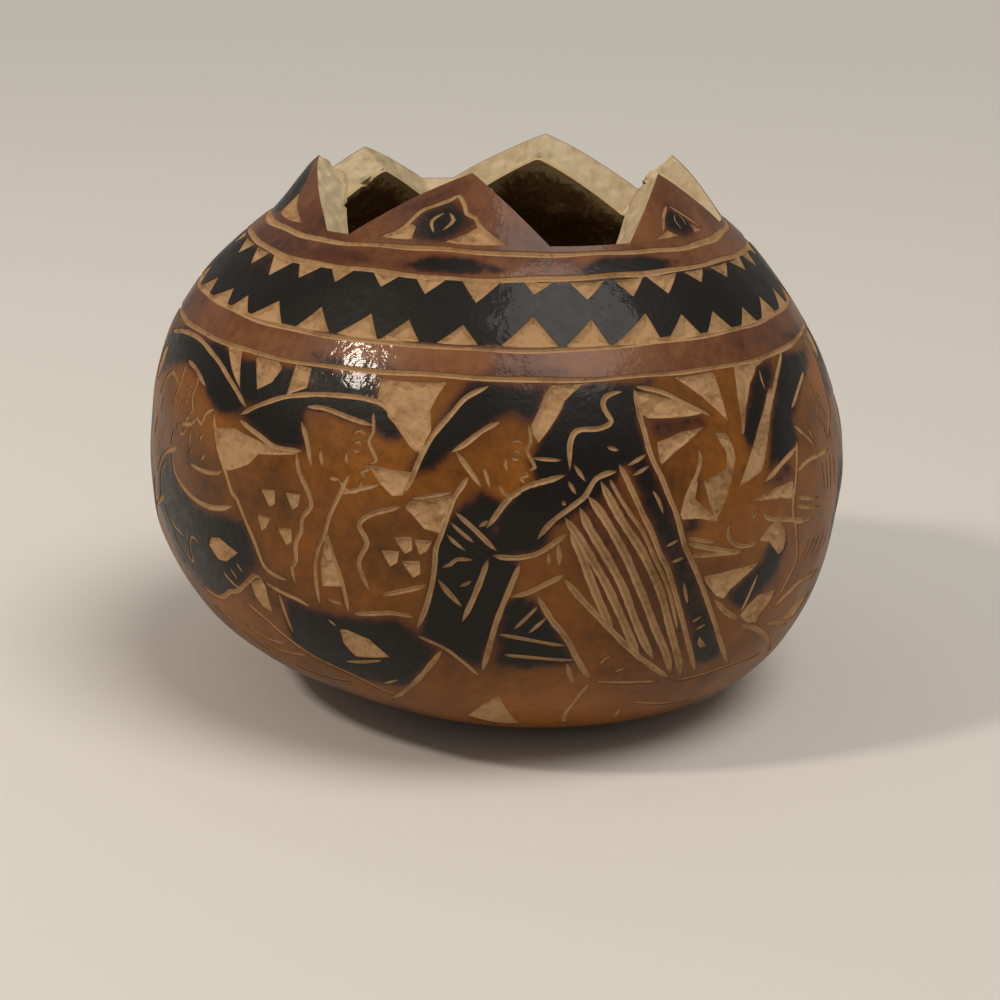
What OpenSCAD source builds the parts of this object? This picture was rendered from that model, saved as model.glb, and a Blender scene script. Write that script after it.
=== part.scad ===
// A small round gourd cut open as a bowl: a leaning woody shell with a zigzag rim of six teeth,
// a thin brown rind that the carver's grooves divide into islands, and the dry lining left inside.
// The front faces -Y, +X is on the right and the origin is on the foot, at the middle of the box.

/* [Body] */
// Diameter at the widest level
equator_d = 96; // [86:1:110]
// Height of the closed lower end below the widest level, before the foot is cut
base_depth = 36.4; // [33:0.2:42]
// How square the lower end is: 2 is an ellipse, more is fuller
base_fullness = 2.92; // [2.2:0.02:3.2]
// Height at which the shoulder would close above the widest level
shoulder_h = 41.3; // [39:0.1:46]
// How square the shoulder is: 2 is an ellipse, less is more pointed
shoulder_fullness = 1.72; // [1.66:0.02:1.9]
// Lean of the grown body, right side down, in degrees
lean = 7; // [0:0.5:8]
// Depth sanded off underneath, so that the bowl stands
foot_cut = 1.5; // [0.8:0.1:2.2]

/* [Wall] */
// Thickness of the brown rind
rind_t = 0.8; // [0.5:0.05:1.1]
// Thickness of the pale woody wall
wood_t = 3.9; // [3:0.1:5]
// Thickness of the dry lining inside
lining_t = 0.5; // [0.3:0.05:0.8]

/* [Bands] */
// Height of the border groove round the foot
border_h = 5.5; // [4.5:0.25:8]
// Height of the top of the picture frieze above the widest level
frieze_rise = 16.2; // [14.5:0.1:17.5]
// Height of the plain lower band
lower_band_h = 3.5; // [2.5:0.1:4.2]
// Height of the dark zigzag band
zigzag_band_h = 6.7; // [5.5:0.1:7.2]
// Height of the plain upper band
upper_band_h = 2.3; // [1.8:0.1:2.8]
// Width of a carved groove
groove_w = 0.9; // [0.6:0.05:1.2]
// Number of points round the zigzag band
zigzag_count = 42; // [30:1:48]
// How far each point runs back from the groove, measured level
zigzag_depth = 2.3; // [1.6:0.1:2.6]

/* [Rim] */
// Slope of the neck that the teeth are cut from, in degrees
neck_slope = 52; // [46:1:60]
// Height of a notch's floor above the top groove
notch_floor_h = 1; // [0.8:0.05:1.6]
// Height of the front tooth above the top groove
front_tooth_h = 8.9; // [6:0.1:10]
// Height of the front right tooth above the top groove
front_right_tooth_h = 8.1; // [6:0.1:10]
// Height of the right tooth above the top groove
right_tooth_h = 8.1; // [6:0.1:10]
// Height of the back tooth above the top groove
back_tooth_h = 8.7; // [6:0.1:10]
// Height of the back left tooth above the top groove
back_left_tooth_h = 7.2; // [6:0.1:10]
// Height of the left tooth above the top groove
left_tooth_h = 8.2; // [6:0.1:10]
// Width of the fine saw cut between two teeth's rinds
saw_cut_w = 0.3; // [0.2:0.05:0.6]

/* [Blossom scar] */
// Diameter of the corky plug at the flower end
scar_d = 6.6; // [4:0.2:9]
// Depth of the plug
scar_depth = 2; // [1.2:0.1:2.6]
// Height of the plug's face above the foot
scar_recess = 0.3; // [0.2:0.05:0.5]

/* [Hidden] */
$fn = 120;

// Room that a cutting block needs to pass right through the bowl
reach = 2 * equator_d;

// A tooth is its left corner, tip and right corner in degrees round from the front, and its height.
// A panel groove is its place in degrees round from the front, and its slant from upright.
front_tooth = [-39, -9.5, 11, front_tooth_h];
front_right_tooth = [32, 55.5, 77, front_right_tooth_h];
right_tooth = [83, 105.5, 131, right_tooth_h];
back_tooth = [138, 166, 195, back_tooth_h];
back_left_tooth = [204, 232, 252, back_left_tooth_h];
left_tooth = [257, 280, 313, left_tooth_h];
teeth = [front_tooth, front_right_tooth, right_tooth, back_tooth, back_left_tooth, left_tooth];
panel_grooves = [
    [-9, 13], [35, -20], [74, 8], [118, -10], [165, 9], [212, -8], [268, 12], [324, -17]
];

// The grown outline. Angle -90 is the flower end, 0 the widest level and 90 the closed top.
last_angle = 64;
outline_angles = [for (a = [-90:5:0]) a, for (a = [4:4:last_angle]) a];
equator_r = equator_d / 2;

function skin_point(a) =
    a < 0
    ? [
        equator_r * pow(cos(a), 2 / base_fullness),
        -base_depth * pow(sin(-a), 2 / base_fullness)
    ]
    : [
        equator_r * pow(cos(a), 2 / shoulder_fullness),
        shoulder_h * pow(sin(a), 2 / shoulder_fullness)
    ];

// The outline's point at an angle, moved square to the skin by a depth
function depth_point(a, depth) =
    let (run = skin_point(a + 1) - skin_point(max(a - 1, -90)))
    a == -90
    ? skin_point(a) + [0, depth]
    : skin_point(a) + depth * [-run[1], run[0]] / norm(run);

// A point of the outline on the right or left after the body leans
function leaned(p, side) = [
    side * p[0] * cos(lean) + p[1] * sin(lean),
    -side * p[0] * sin(lean) + p[1] * cos(lean)
];

skin_right = [for (a = outline_angles) leaned(skin_point(a), 1)];
skin_left = [for (a = outline_angles) leaned(skin_point(a), -1)];
lowest = min([for (p = skin_right) p[1]]);
equator_h = -lowest - foot_cut;
middle_x = (max([for (p = skin_right) p[0]]) + min([for (p = skin_left) p[0]])) / 2;

// Levels above the foot
frieze_top_h = equator_h + frieze_rise;
lower_groove_h = frieze_top_h + lower_band_h;
upper_groove_h = lower_groove_h + zigzag_band_h;
rim_h = upper_groove_h + upper_band_h;
neck_h = max([for (t = teeth) t[3]]) + 2;

// The level circle, as [middle in x, radius], that a layer of the leaned shoulder has at a height
function shoulder_x(depth, side, h) =
    lookup(h - equator_h, [
        for (a = outline_angles)
        if (a >= 0)
        let (p = leaned(depth_point(a, depth), side))
        [p[1], p[0]]
    ]);
function level_circle(depth, h) =
    let (right = shoulder_x(depth, 1, h), left = shoulder_x(depth, -1, h))
    [(right + left) / 2 - middle_x, (right - left) / 2];

wall_depth = rind_t + wood_t;
inner_depth = wall_depth + lining_t;
// Middle and radius of a layer at the neck's root. A fine ledge all round keeps the neck off the
// shoulder's edges.
neck_ledge = 0.25;
function neck_root_x(depth) = level_circle(depth, rim_h)[0];
function neck_root_r(depth) =
    level_circle(depth, rim_h)[1] + (depth < wall_depth ? -neck_ledge : neck_ledge);
rim_x = neck_root_x(0);
// Where the neck's outer face is, at degrees round from the front and a height above the groove
function neck_r(h) = neck_root_r(0) - h / tan(neck_slope);
function neck_point(turn, h) =
    [rim_x + neck_r(h) * sin(turn), -neck_r(h) * cos(turn), rim_h + h];
function neck_out(turn) =
    [sin(turn) * sin(neck_slope), -cos(turn) * sin(neck_slope), cos(neck_slope)];

// Bodies of the layers

// Sets a shape of the grown body on its foot, with its lean
module set_down() {
    translate([-middle_x, 0, equator_h]) rotate([0, lean, 0]) children();
}

// The grown layer between two depths below the skin
module body_layer(from_depth, to_depth) {
    set_down() rotate_extrude() polygon(concat(
        [for (a = outline_angles) depth_point(a, from_depth)],
        [for (i = [len(outline_angles) - 1:-1:0]) depth_point(outline_angles[i], to_depth)]
    ));
}

// The cone inside a layer's outer face where it runs on as the straight neck above the top groove
module neck_core(depth) {
    top_r = neck_r(neck_h) - depth / sin(neck_slope);
    translate([neck_root_x(depth), 0, rim_h]) rotate_extrude()
        polygon([[0, 0], [neck_root_r(depth), 0], [top_r, neck_h], [0, neck_h]]);
}

module neck_layer(from_depth, to_depth) {
    difference() {
        neck_core(from_depth);
        neck_core(to_depth);
    }
}

module between_levels(low, high) {
    intersection() {
        children();
        translate([-reach / 2, -reach / 2, low]) cube([reach, reach, high - low]);
    }
}

// A ring of rind between the middles of two level grooves
module rind_ring(low, high) {
    between_levels(low + groove_w / 2, high - groove_w / 2) body_layer(0, rind_t);
}

// Rim teeth

// The space above a straight knife cut, made square to the neck, from one point of it to another
module above_cut(from, to, turn) {
    run = (to - from) / norm(to - from);
    rightward = [cos(turn), sin(turn), 0];
    square = cross(neck_out(turn), run) * sign(run * rightward);
    up = square / norm(square);
    side = cross(up, run);
    multmatrix([
        [run[0], side[0], up[0], from[0]],
        [run[1], side[1], up[1], from[1]],
        [run[2], side[2], up[2], from[2]],
        [0, 0, 0, 1]
    ]) translate([-reach / 2, -reach / 2, 0]) cube([reach, reach, reach]);
}

// The notch between a tooth's right side and the next tooth's left side
module notch(tooth, next) {
    next_turn = next[0] < tooth[0] ? 360 : 0;
    middle = (tooth[2] + next[0] + next_turn) / 2;
    intersection() {
        above_cut(
            neck_point(tooth[2], notch_floor_h),
            neck_point(tooth[1], tooth[3]),
            (tooth[1] + tooth[2]) / 2
        );
        above_cut(
            neck_point(next[0], notch_floor_h),
            neck_point(next[1], next[3]),
            (next[0] + next[1]) / 2
        );
        translate([rim_x, 0, rim_h + notch_floor_h]) rotate([0, 0, middle - 90])
            translate([0, -reach / 2, 0]) cube([reach, reach, reach]);
    }
}

module notches() {
    for (i = [0:len(teeth) - 1]) notch(teeth[i], teeth[(i + 1) % len(teeth)]);
}

// The sector of the rim from one tooth's left corner to the next one's, with half a saw cut off each
module rim_sector(i) {
    from = teeth[i][0];
    to = teeth[(i + 1) % len(teeth)][0];
    translate([rim_x, 0, 0]) intersection() {
        rotate([0, 0, from]) translate([saw_cut_w / 2, -reach, 0]) cube([reach, 2 * reach, reach]);
        rotate([0, 0, to]) translate([-reach - saw_cut_w / 2, -reach, 0])
            cube([reach, 2 * reach, reach]);
    }
}

module rind_tooth(i) {
    color("#6b3f2a") difference() {
        intersection() {
            between_levels(rim_h + groove_w / 2, rim_h + neck_h) neck_layer(0, rind_t);
            rim_sector(i);
        }
        notches();
    }
}

// Picture frieze

// The space to the right of a slanted panel groove, seen from outside
module right_of(groove, side) {
    rotate([0, 0, groove[0]]) translate([0, 0, frieze_top_h / 2]) rotate([0, groove[1], 0])
        translate([side > 0 ? groove_w / 2 : -reach - groove_w / 2, -reach, -reach])
            cube([reach, 2 * reach, 2 * reach]);
}

module rind_frieze(i) {
    color("#8a4a1c") intersection() {
        rind_ring(border_h, frieze_top_h);
        right_of(panel_grooves[i], 1);
        right_of(panel_grooves[(i + 1) % len(panel_grooves)], -1);
    }
}

// Zigzag band

// A star outline whose points are zigzag_depth away from its valleys
module star(valley_r, point_r) {
    polygon([
        for (i = [0:2 * zigzag_count - 1])
        let (turn = i * 180 / zigzag_count, r = i % 2 == 0 ? valley_r : point_r)
        r * [sin(turn), -cos(turn)]
    ]);
}

module rind_zigzag_band() {
    low = level_circle(0, lower_groove_h);
    high = level_circle(0, upper_groove_h);
    middle = (low[0] + high[0]) / 2;
    color("#201a14") intersection() {
        rind_ring(lower_groove_h, upper_groove_h);
        translate([middle, 0, lower_groove_h]) linear_extrude(zigzag_band_h) difference() {
            star(low[1] - zigzag_depth, low[1] + groove_w / 2);
            star(high[1] - groove_w / 2, high[1] + zigzag_depth);
        }
    }
}

// Plain rinds

module rind_lower_band() {
    color("#7a4526") rind_ring(frieze_top_h, lower_groove_h);
}

module rind_upper_band() {
    color("#6b3f2a") rind_ring(upper_groove_h, rim_h);
}

module rind_base() {
    color("#8a4a1c") difference() {
        between_levels(0, border_h - groove_w / 2) body_layer(0, rind_t);
        scar_plug();
    }
}

// Wall, lining and scar

// The round plug at the flower end, from below the foot up into the wood
module scar_plug() {
    set_down() translate([0, 0, -base_depth - foot_cut])
        cylinder(d = scar_d, h = scar_depth + foot_cut);
}

module blossom_scar() {
    color("#4a3524") between_levels(scar_recess, rim_h) scar_plug();
}

module woody_wall() {
    color("#c9a877") difference() {
        union() {
            between_levels(0, rim_h) body_layer(rind_t, wall_depth);
            neck_layer(rind_t, wall_depth);
        }
        notches();
        scar_plug();
    }
}

module pith_lining() {
    color("#241a0c") difference() {
        union() {
            between_levels(0, rim_h) body_layer(wall_depth, inner_depth);
            neck_layer(wall_depth, inner_depth);
        }
        notches();
    }
}

woody_wall();
pith_lining();
blossom_scar();
rind_base();
rind_frieze(0);  // rind_frieze_front
rind_frieze(1);  // rind_frieze_front_right
rind_frieze(2);  // rind_frieze_right
rind_frieze(3);  // rind_frieze_back_right
rind_frieze(4);  // rind_frieze_back
rind_frieze(5);  // rind_frieze_back_left
rind_frieze(6);  // rind_frieze_left
rind_frieze(7);  // rind_frieze_front_left
rind_lower_band();
rind_zigzag_band();
rind_upper_band();
rind_tooth(0);  // rind_tooth_front
rind_tooth(1);  // rind_tooth_front_right
rind_tooth(2);  // rind_tooth_right
rind_tooth(3);  // rind_tooth_back
rind_tooth(4);  // rind_tooth_back_left
rind_tooth(5);  // rind_tooth_left
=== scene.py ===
"""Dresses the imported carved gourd: its burnt and varnished rind, the pale cuts of the burin,
the sawn zigzag rim, the dry lining and the corky scar, on a plain floor in soft light.

Sizes are in millimetres in the classes and become metres where a mesh is made. A place on the
gourd is written as degrees round from the front, to the right, and a height above the foot. A
trail runs through places, and is written as angle, height, angle, height and so on.
"""

import logging
import math
from collections.abc import Callable, Iterable, Sequence
from dataclasses import dataclass, field, replace
from enum import Enum

import bpy
import numpy as np
from mathutils import Matrix, Vector
from mathutils.geometry import delaunay_2d_cdt


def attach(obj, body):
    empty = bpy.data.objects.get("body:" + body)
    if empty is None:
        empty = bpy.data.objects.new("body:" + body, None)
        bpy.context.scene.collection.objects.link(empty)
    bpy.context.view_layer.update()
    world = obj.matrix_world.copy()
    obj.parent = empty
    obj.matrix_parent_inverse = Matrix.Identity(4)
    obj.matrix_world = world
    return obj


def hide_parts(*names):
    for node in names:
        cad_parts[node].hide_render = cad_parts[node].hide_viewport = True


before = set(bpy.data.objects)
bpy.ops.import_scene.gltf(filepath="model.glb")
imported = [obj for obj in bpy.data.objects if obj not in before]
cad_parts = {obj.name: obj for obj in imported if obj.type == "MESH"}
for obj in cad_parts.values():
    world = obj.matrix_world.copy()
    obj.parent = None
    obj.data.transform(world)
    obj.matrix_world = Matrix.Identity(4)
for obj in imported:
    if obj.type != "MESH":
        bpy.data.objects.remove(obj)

LOG = logging.getLogger("carved_gourd")
MM = 0.001
MM_PER_METRE = 1000.0
BODY = "root"
Place = tuple[float, float]
Trail = tuple[float, ...]


class RindFinish(Enum):
    """The finishes that the islands of rind have."""

    BROWN = "brown_rind"
    VARNISHED = "varnished_rind"
    BURNT = "burnt_rind"


@dataclass(frozen=True)
class Cut:
    """One sweep of the burin: a V groove through places on the skin.

    Attributes:
        places: Places that the groove's middle runs through.
        width: Widest width, in millimetres. It runs out to nothing at both ends.
    """

    places: tuple[Place, ...]
    width: float


@dataclass(frozen=True)
class Chip:
    """A patch of rind that is chipped away down to rough pale wood.

    Attributes:
        places: Corners of the patch.
        depth: Depth of its floor below the skin, in millimetres.
        rough: Height of the torn fibres on its floor, in millimetres.
    """

    places: tuple[Place, ...]
    depth: float = 0.45
    rough: float = 0.12


@dataclass(frozen=True)
class Scorch:
    """A patch that is burnt dark before it is carved.

    Attributes:
        places: Corners of the patch.
        strength: 0 leaves the rind brown and 1 burns it black.
        soft: Width over which the burn fades at its edge, in millimetres.
    """

    places: tuple[Place, ...]
    strength: float
    soft: float = 2.0


def pairs(numbers: Trail) -> tuple[Place, ...]:
    """Returns the places of a trail."""
    return tuple(zip(numbers[::2], numbers[1::2]))


@dataclass
class Motif:
    """Carving that belongs together: its cuts, its chips and the burn under them."""

    cuts: list[Cut] = field(default_factory=list)
    chips: list[Chip] = field(default_factory=list)
    scorches: list[Scorch] = field(default_factory=list)

    def cut(self, width: float, *trails: Trail) -> None:
        """Adds cuts of one width."""
        self.cuts += [Cut(pairs(t), width) for t in trails]

    def chip(self, *trails: Trail) -> None:
        """Adds chips from their corners."""
        self.chips += [Chip(pairs(t)) for t in trails]

    def burn(self, strength: float, *trails: Trail) -> None:
        """Adds burns of one strength from their corners."""
        self.scorches += [Scorch(pairs(t), strength) for t in trails]

    def speck(self, size: float, places: Trail) -> None:
        """Adds small chips that hang from a flat top, as the point of a knife leaves them.

        Args:
            size: Their width, in degrees, and height, in millimetres.
            places: Their middles.
        """
        half = size / 2
        for k, (turn, height) in enumerate(pairs(places)):
            lean = 0.5 * math.sin(2.1 * k + 1.0)
            self.chips.append(Chip(((turn - half * 1.25, height + half * 0.8),
                                    (turn + half * 1.3, height + half * (0.9 + 0.3 * lean)),
                                    (turn + half * (1.0 + lean), height - half * 0.5),
                                    (turn + half * lean * 0.9, height - half * 1.05)), 0.35, 0.06))

    def join(self, other: "Motif") -> None:
        """Takes another motif's carving in."""
        self.cuts += other.cuts
        self.chips += other.chips
        self.scorches += other.scorches

    def laid(self, lay: Callable[[float, float], Place]) -> "Motif":
        """Gives the same carving with its places laid elsewhere.

        Args:
            lay: Turns the two numbers of a place into the new place.

        Returns:
            The laid carving.
        """
        return Motif(*([replace(mark, places=tuple(lay(*place) for place in mark.places))
                        for mark in marks] for marks in (self.cuts, self.chips, self.scorches)))

    def moved(self, turn: float, way: int = 1) -> "Motif":
        """Gives the same carving further round to the right, or its mirror image for a way of -1."""
        return self.laid(lambda angle, height: (way * angle + turn, height))


@dataclass(frozen=True)
class Profile:
    """A plain face in profile, cut with a few fine strokes.

    Attributes:
        turn: Angle of the head's middle, in degrees.
        height: Height of the head's middle.
        size: Height of the face, in millimetres.
        facing: 1 for a face that looks to the right and -1 for one that looks left.
        tilt: Lean of the head forwards, in degrees.
    """

    turn: float
    height: float
    size: float = 7.0
    facing: float = 1.0
    tilt: float = 8.0

    FRONT = (0.22, 0.55, 0.31, 0.3, 0.28, 0.17, 0.46, -0.04, 0.33, -0.1)
    MOUTH = (0.3, -0.12, 0.39, -0.17, 0.29, -0.23, 0.37, -0.3, 0.3, -0.34)
    CHIN = (0.29, -0.34, 0.33, -0.45, 0.18, -0.54, -0.02, -0.4)
    BROW = (0.02, 0.2, 0.12, 0.27, 0.24, 0.22)
    EYE = (0.06, 0.08, 0.14, 0.13, 0.22, 0.07)
    UNDER_EYE = (0.08, 0.03, 0.15, 0.0, 0.22, 0.04)
    CHEEK = (0.1, -0.2, 0.03, -0.12, 0.02, 0.0)
    MM_PER_DEGREE = 0.8

    def _lay(self, across: float, up: float) -> Place:
        """Turns parts of the face's size into a place on the gourd."""
        lean = math.radians(self.tilt) * self.facing
        x, y = across * self.facing * self.size, up * self.size
        x, y = x * math.cos(lean) + y * math.sin(lean), y * math.cos(lean) - x * math.sin(lean)
        return self.turn + x / self.MM_PER_DEGREE, self.height + y

    def carve(self, m: Motif) -> None:
        """Adds the face's strokes to a motif.

        Args:
            m: The motif of the head that has this face.
        """
        face = Motif()
        face.cut(0.5, self.FRONT, self.MOUTH, self.CHIN)
        face.cut(0.42, self.BROW, self.EYE, self.UNDER_EYE, self.CHEEK)
        m.join(face.laid(self._lay))


def smoothstep(low: float, high: float, value: np.ndarray) -> np.ndarray:
    """Returns 0 below low, 1 above high and a smooth rise between them."""
    t = np.clip((value - low) / (high - low), 0.0, 1.0)
    return t * t * (3.0 - 2.0 * t)


def ripple(points: np.ndarray, size: float, seed: int) -> np.ndarray:
    """Gives smooth, repeatable unevenness in space.

    Args:
        points: Rows of x, y and z in millimetres.
        size: Length of a typical wave, in millimetres.
        seed: Picks another set of waves.

    Returns:
        One value for each point, mostly between -1 and 1.
    """
    rng = np.random.default_rng(seed)
    total = np.zeros(len(points))
    waves = 7
    for _ in range(waves):
        way = rng.normal(size=3)
        way *= 2 * math.pi / size / np.linalg.norm(way) * rng.uniform(0.6, 1.4)
        total += np.sin(points @ way + rng.uniform(0, 2 * math.pi))
    return total / math.sqrt(waves)


def smooth_line(points: np.ndarray, step: float) -> np.ndarray:
    """Runs a smooth line through points.

    Args:
        points: Two or more rows of x and y.
        step: Distance between the line's points.

    Returns:
        Rows of x and y at about that distance, from the first point to the last.
    """
    before = 2 * points[0] - points[1]
    after = 2 * points[-1] - points[-2]
    rows = np.vstack([before, points, after])
    line = [points[:1]]
    for a, b, c, d in zip(rows[:-3], rows[1:-2], rows[2:-1], rows[3:]):
        parts = max(int(math.ceil(np.linalg.norm(c - b) / step)), 1)
        t = (np.arange(1, parts + 1) / parts)[:, None]
        line.append(0.5 * (2 * b + (c - a) * t + (2 * a - 5 * b + 4 * c - d) * t**2
                           + (3 * b - a - 3 * c + d) * t**3))
    return np.vstack(line)


def straight_outline(corners: np.ndarray, step: float) -> np.ndarray:
    """Runs a closed outline straight from corner to corner.

    Args:
        corners: Rows of x and y.
        step: Distance between the outline's points.

    Returns:
        Rows of x and y at about that distance.
    """
    line = []
    for a, b in zip(corners, np.roll(corners, -1, axis=0)):
        parts = max(int(math.ceil(np.linalg.norm(b - a) / step)), 1)
        line.append(a + (b - a) * (np.arange(parts) / parts)[:, None])
    return np.vstack(line)


def within(points: np.ndarray, outline: np.ndarray) -> np.ndarray:
    """Finds the points inside a closed outline, by how often it winds round them.

    Args:
        points: Rows of x and y.
        outline: The outline's corners.

    Returns:
        Whether each point lies inside.
    """
    wind = np.zeros(len(points), int)
    x, y = points[:, 0], points[:, 1]
    for a, b in zip(outline, np.roll(outline, -1, axis=0)):
        side = (b[0] - a[0]) * (y - a[1]) - (x - a[0]) * (b[1] - a[1])
        wind += (a[1] <= y) & (b[1] > y) & (side > 0)
        wind -= (a[1] > y) & (b[1] <= y) & (side < 0)
    return wind != 0


def nearest(points: np.ndarray, line: np.ndarray, closed: bool) -> tuple[np.ndarray, np.ndarray]:
    """Finds the nearest place on a line.

    Args:
        points: Rows of x and y.
        line: The line's points.
        closed: Whether the line's end joins its start.

    Returns:
        The distance of each point, and where on the line it is, counted in the line's points.
    """
    ends = np.roll(line, -1, axis=0) if closed else line[1:]
    best = np.full(len(points), np.inf)
    where = np.zeros(len(points))
    for i, (a, b) in enumerate(zip(line, ends)):
        run = b - a
        t = np.clip((points - a) @ run / max(run @ run, 1e-12), 0.0, 1.0)
        gap = np.linalg.norm(points - a - t[:, None] * run, axis=1)
        closer = gap < best
        best = np.where(closer, gap, best)
        where = np.where(closer, i + t, where)
    return best, where


def square_grid(low: Sequence[float], high: Sequence[float], step: float) -> np.ndarray:
    """Returns rows of x and y of a square grid between two corners."""
    xs, ys = np.meshgrid(np.arange(low[0], high[0], step), np.arange(low[1], high[1], step))
    return np.stack([xs.ravel(), ys.ravel()], axis=1)


def boxed(points: np.ndarray, outline: np.ndarray, margin: float = 1e-3) -> np.ndarray:
    """Returns the indexes of the points that lie in an outline's box, widened by a margin."""
    low, high = outline.min(axis=0) - margin, outline.max(axis=0) + margin
    return np.nonzero(((points > low) & (points < high)).all(axis=1))[0]


def triangles(points: np.ndarray, edges: Sequence[Sequence[int]],
              gap: float) -> tuple[np.ndarray, np.ndarray, list[list[int]]]:
    """Fills a sheet with triangles.

    Args:
        points: Rows of x and y.
        edges: Pairs of point indexes that the triangles have to keep.
        gap: Distance under which two points are one.

    Returns:
        The sheet's points, its triangles, and the points that each of its points came from.
    """
    made = delaunay_2d_cdt([Vector(p) for p in points.tolist()], edges, [], 0, gap, True)
    return (np.array([tuple(v) for v in made[0]]),
            np.array([f for f in made[2] if len(f) == 3]), made[3])


def outward(turn: np.ndarray) -> np.ndarray:
    """Returns the level directions away from the middle at angles round from the front."""
    return np.stack([np.sin(turn), -np.cos(turn)], axis=1)


def unit(rows: np.ndarray) -> np.ndarray:
    """Returns rows drawn out or in to a length of 1."""
    return rows / np.linalg.norm(rows, axis=1, keepdims=True)


def polar(turn: np.ndarray, reach: np.ndarray) -> np.ndarray:
    """Returns rows of x and y from angles and distances."""
    return np.stack([reach * np.cos(turn), reach * np.sin(turn)], axis=1)


@dataclass(frozen=True)
class Skin:
    """The grown outside of the gourd as it stands, with the sawn neck above the rim.

    Attributes:
        equator_r: Radius at the widest level.
        base_depth: Height of the lower end below the widest level.
        base_fullness: Power of the lower outline.
        shoulder_h: Height at which the shoulder would close.
        shoulder_fullness: Power of the shoulder's outline.
        lean: Lean of the body, right side down.
        middle_x: Place of the body's middle.
        equator_h: Height of the widest level above the foot.
        rim_h: Height at which the neck starts.
        neck_slope: Slope of the neck.
        low_h: Height below which the skin is laid out from underneath.
    """

    equator_r: float = 48.0
    base_depth: float = 36.4
    base_fullness: float = 2.92
    shoulder_h: float = 41.3
    shoulder_fullness: float = 1.72
    lean: float = math.radians(7)
    middle_x: float = 0.374
    equator_h: float = 36.1
    rim_h: float = 64.8
    neck_slope: float = math.radians(52)
    low_h: float = 4.0

    def _body(self, point: np.ndarray) -> tuple[np.ndarray, np.ndarray, np.ndarray]:
        """Turns points back to the upright body and returns x, radius and height there."""
        across = point[:, 0] - self.middle_x
        up = point[:, 2] - self.equator_h
        x = across * math.cos(self.lean) - up * math.sin(self.lean)
        z = across * math.sin(self.lean) + up * math.cos(self.lean)
        return x, np.hypot(x, point[:, 1]), z

    def _powers(self, z: np.ndarray) -> tuple[np.ndarray, np.ndarray]:
        """Returns the outline's power and its half height at heights in the upright body."""
        below = z < 0
        power = np.where(below, self.base_fullness, self.shoulder_fullness)
        return power, np.where(below, self.base_depth, self.shoulder_h)

    def outside(self, point: np.ndarray) -> np.ndarray:
        """Returns a value that is negative inside the skin and positive outside."""
        _, radius, z = self._body(point)
        power, half = self._powers(z)
        return (radius / self.equator_r) ** power + (np.abs(z) / half) ** power - 1.0

    def normal(self, point: np.ndarray) -> np.ndarray:
        """Returns the skin's outward direction at points on it."""
        x, radius, z = self._body(point)
        power, half = self._powers(z)
        radius = np.maximum(radius, 1e-6)
        out = power * radius ** (power - 1) / self.equator_r**power
        up = power * np.abs(z) ** (power - 1) / half**power * np.sign(z)
        nx, ny = out * x / radius, out * point[:, 1] / radius
        lean = self.lean
        return unit(np.stack([nx * math.cos(lean) + up * math.sin(lean), ny,
                              -nx * math.sin(lean) + up * math.cos(lean)], axis=1))

    def _solve(self, low: np.ndarray, high: np.ndarray,
               at: Callable[[np.ndarray], np.ndarray]) -> np.ndarray:
        """Halves the way between inside and outside values until they meet on the skin.

        Args:
            low: Values inside the skin.
            high: Values outside it.
            at: Turns values into points.

        Returns:
            The values on the skin.
        """
        low, high = low.copy(), high.copy()
        for _ in range(34):
            middle = (low + high) / 2
            out = self.outside(at(middle)) > 0
            high = np.where(out, middle, high)
            low = np.where(out, low, middle)
        return (low + high) / 2

    def radius(self, turn: np.ndarray, height: np.ndarray) -> np.ndarray:
        """Returns how far the skin is from the upright line through the origin.

        Args:
            turn: Angles round from the front, in radians.
            height: Heights above the foot.

        Returns:
            The distances, in millimetres.
        """
        way = outward(turn)

        def at(reach: np.ndarray) -> np.ndarray:
            return np.column_stack([way * reach[:, None], height])

        return self._solve(np.zeros_like(height), np.full_like(height, 60.0), at)

    def neck(self) -> tuple[float, float]:
        """Returns the middle in x and the radius of the neck's root."""
        turns = np.radians([90.0, -90.0])
        right, left = self.radius(turns, np.full(2, self.rim_h))
        ledge = 0.25
        return (right - left) / 2, (right + left) / 2 - ledge

    def side(self, turn: np.ndarray, height: np.ndarray) -> tuple[np.ndarray, np.ndarray]:
        """Gives points and outward directions on the side of the gourd and its neck.

        Args:
            turn: Angles round from the front, in radians.
            height: Heights above the foot.

        Returns:
            The points and the directions.
        """
        way = outward(turn)
        grown = self.radius(turn, np.minimum(height, self.rim_h + 1.0))
        middle, root = self.neck()
        cone = root - (height - self.rim_h) / math.tan(self.neck_slope)
        along = way[:, 0] * middle
        cone = along + np.sqrt(np.maximum(cone**2 - middle**2 + along**2, 1e-9))
        share = smoothstep(self.rim_h - 0.5, self.rim_h + 0.6, height)
        reach = grown * (1 - share) + cone * share
        point = np.column_stack([way * reach[:, None], height])
        out = unit(point[:, :2] - [middle, 0.0])
        sawn = np.column_stack([out * math.sin(self.neck_slope),
                                np.full(len(turn), math.cos(self.neck_slope))])
        normal = self.normal(point) * (1 - share[:, None]) + sawn * share[:, None]
        return point, unit(normal)

    def under(self, flat: np.ndarray, sanded: bool) -> tuple[np.ndarray, np.ndarray]:
        """Gives points and outward directions on the lower end.

        Args:
            flat: Rows of x and y.
            sanded: Whether the foot is sanded flat.

        Returns:
            The points and the directions.
        """
        def at(height: np.ndarray) -> np.ndarray:
            return np.column_stack([flat, height])

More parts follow.
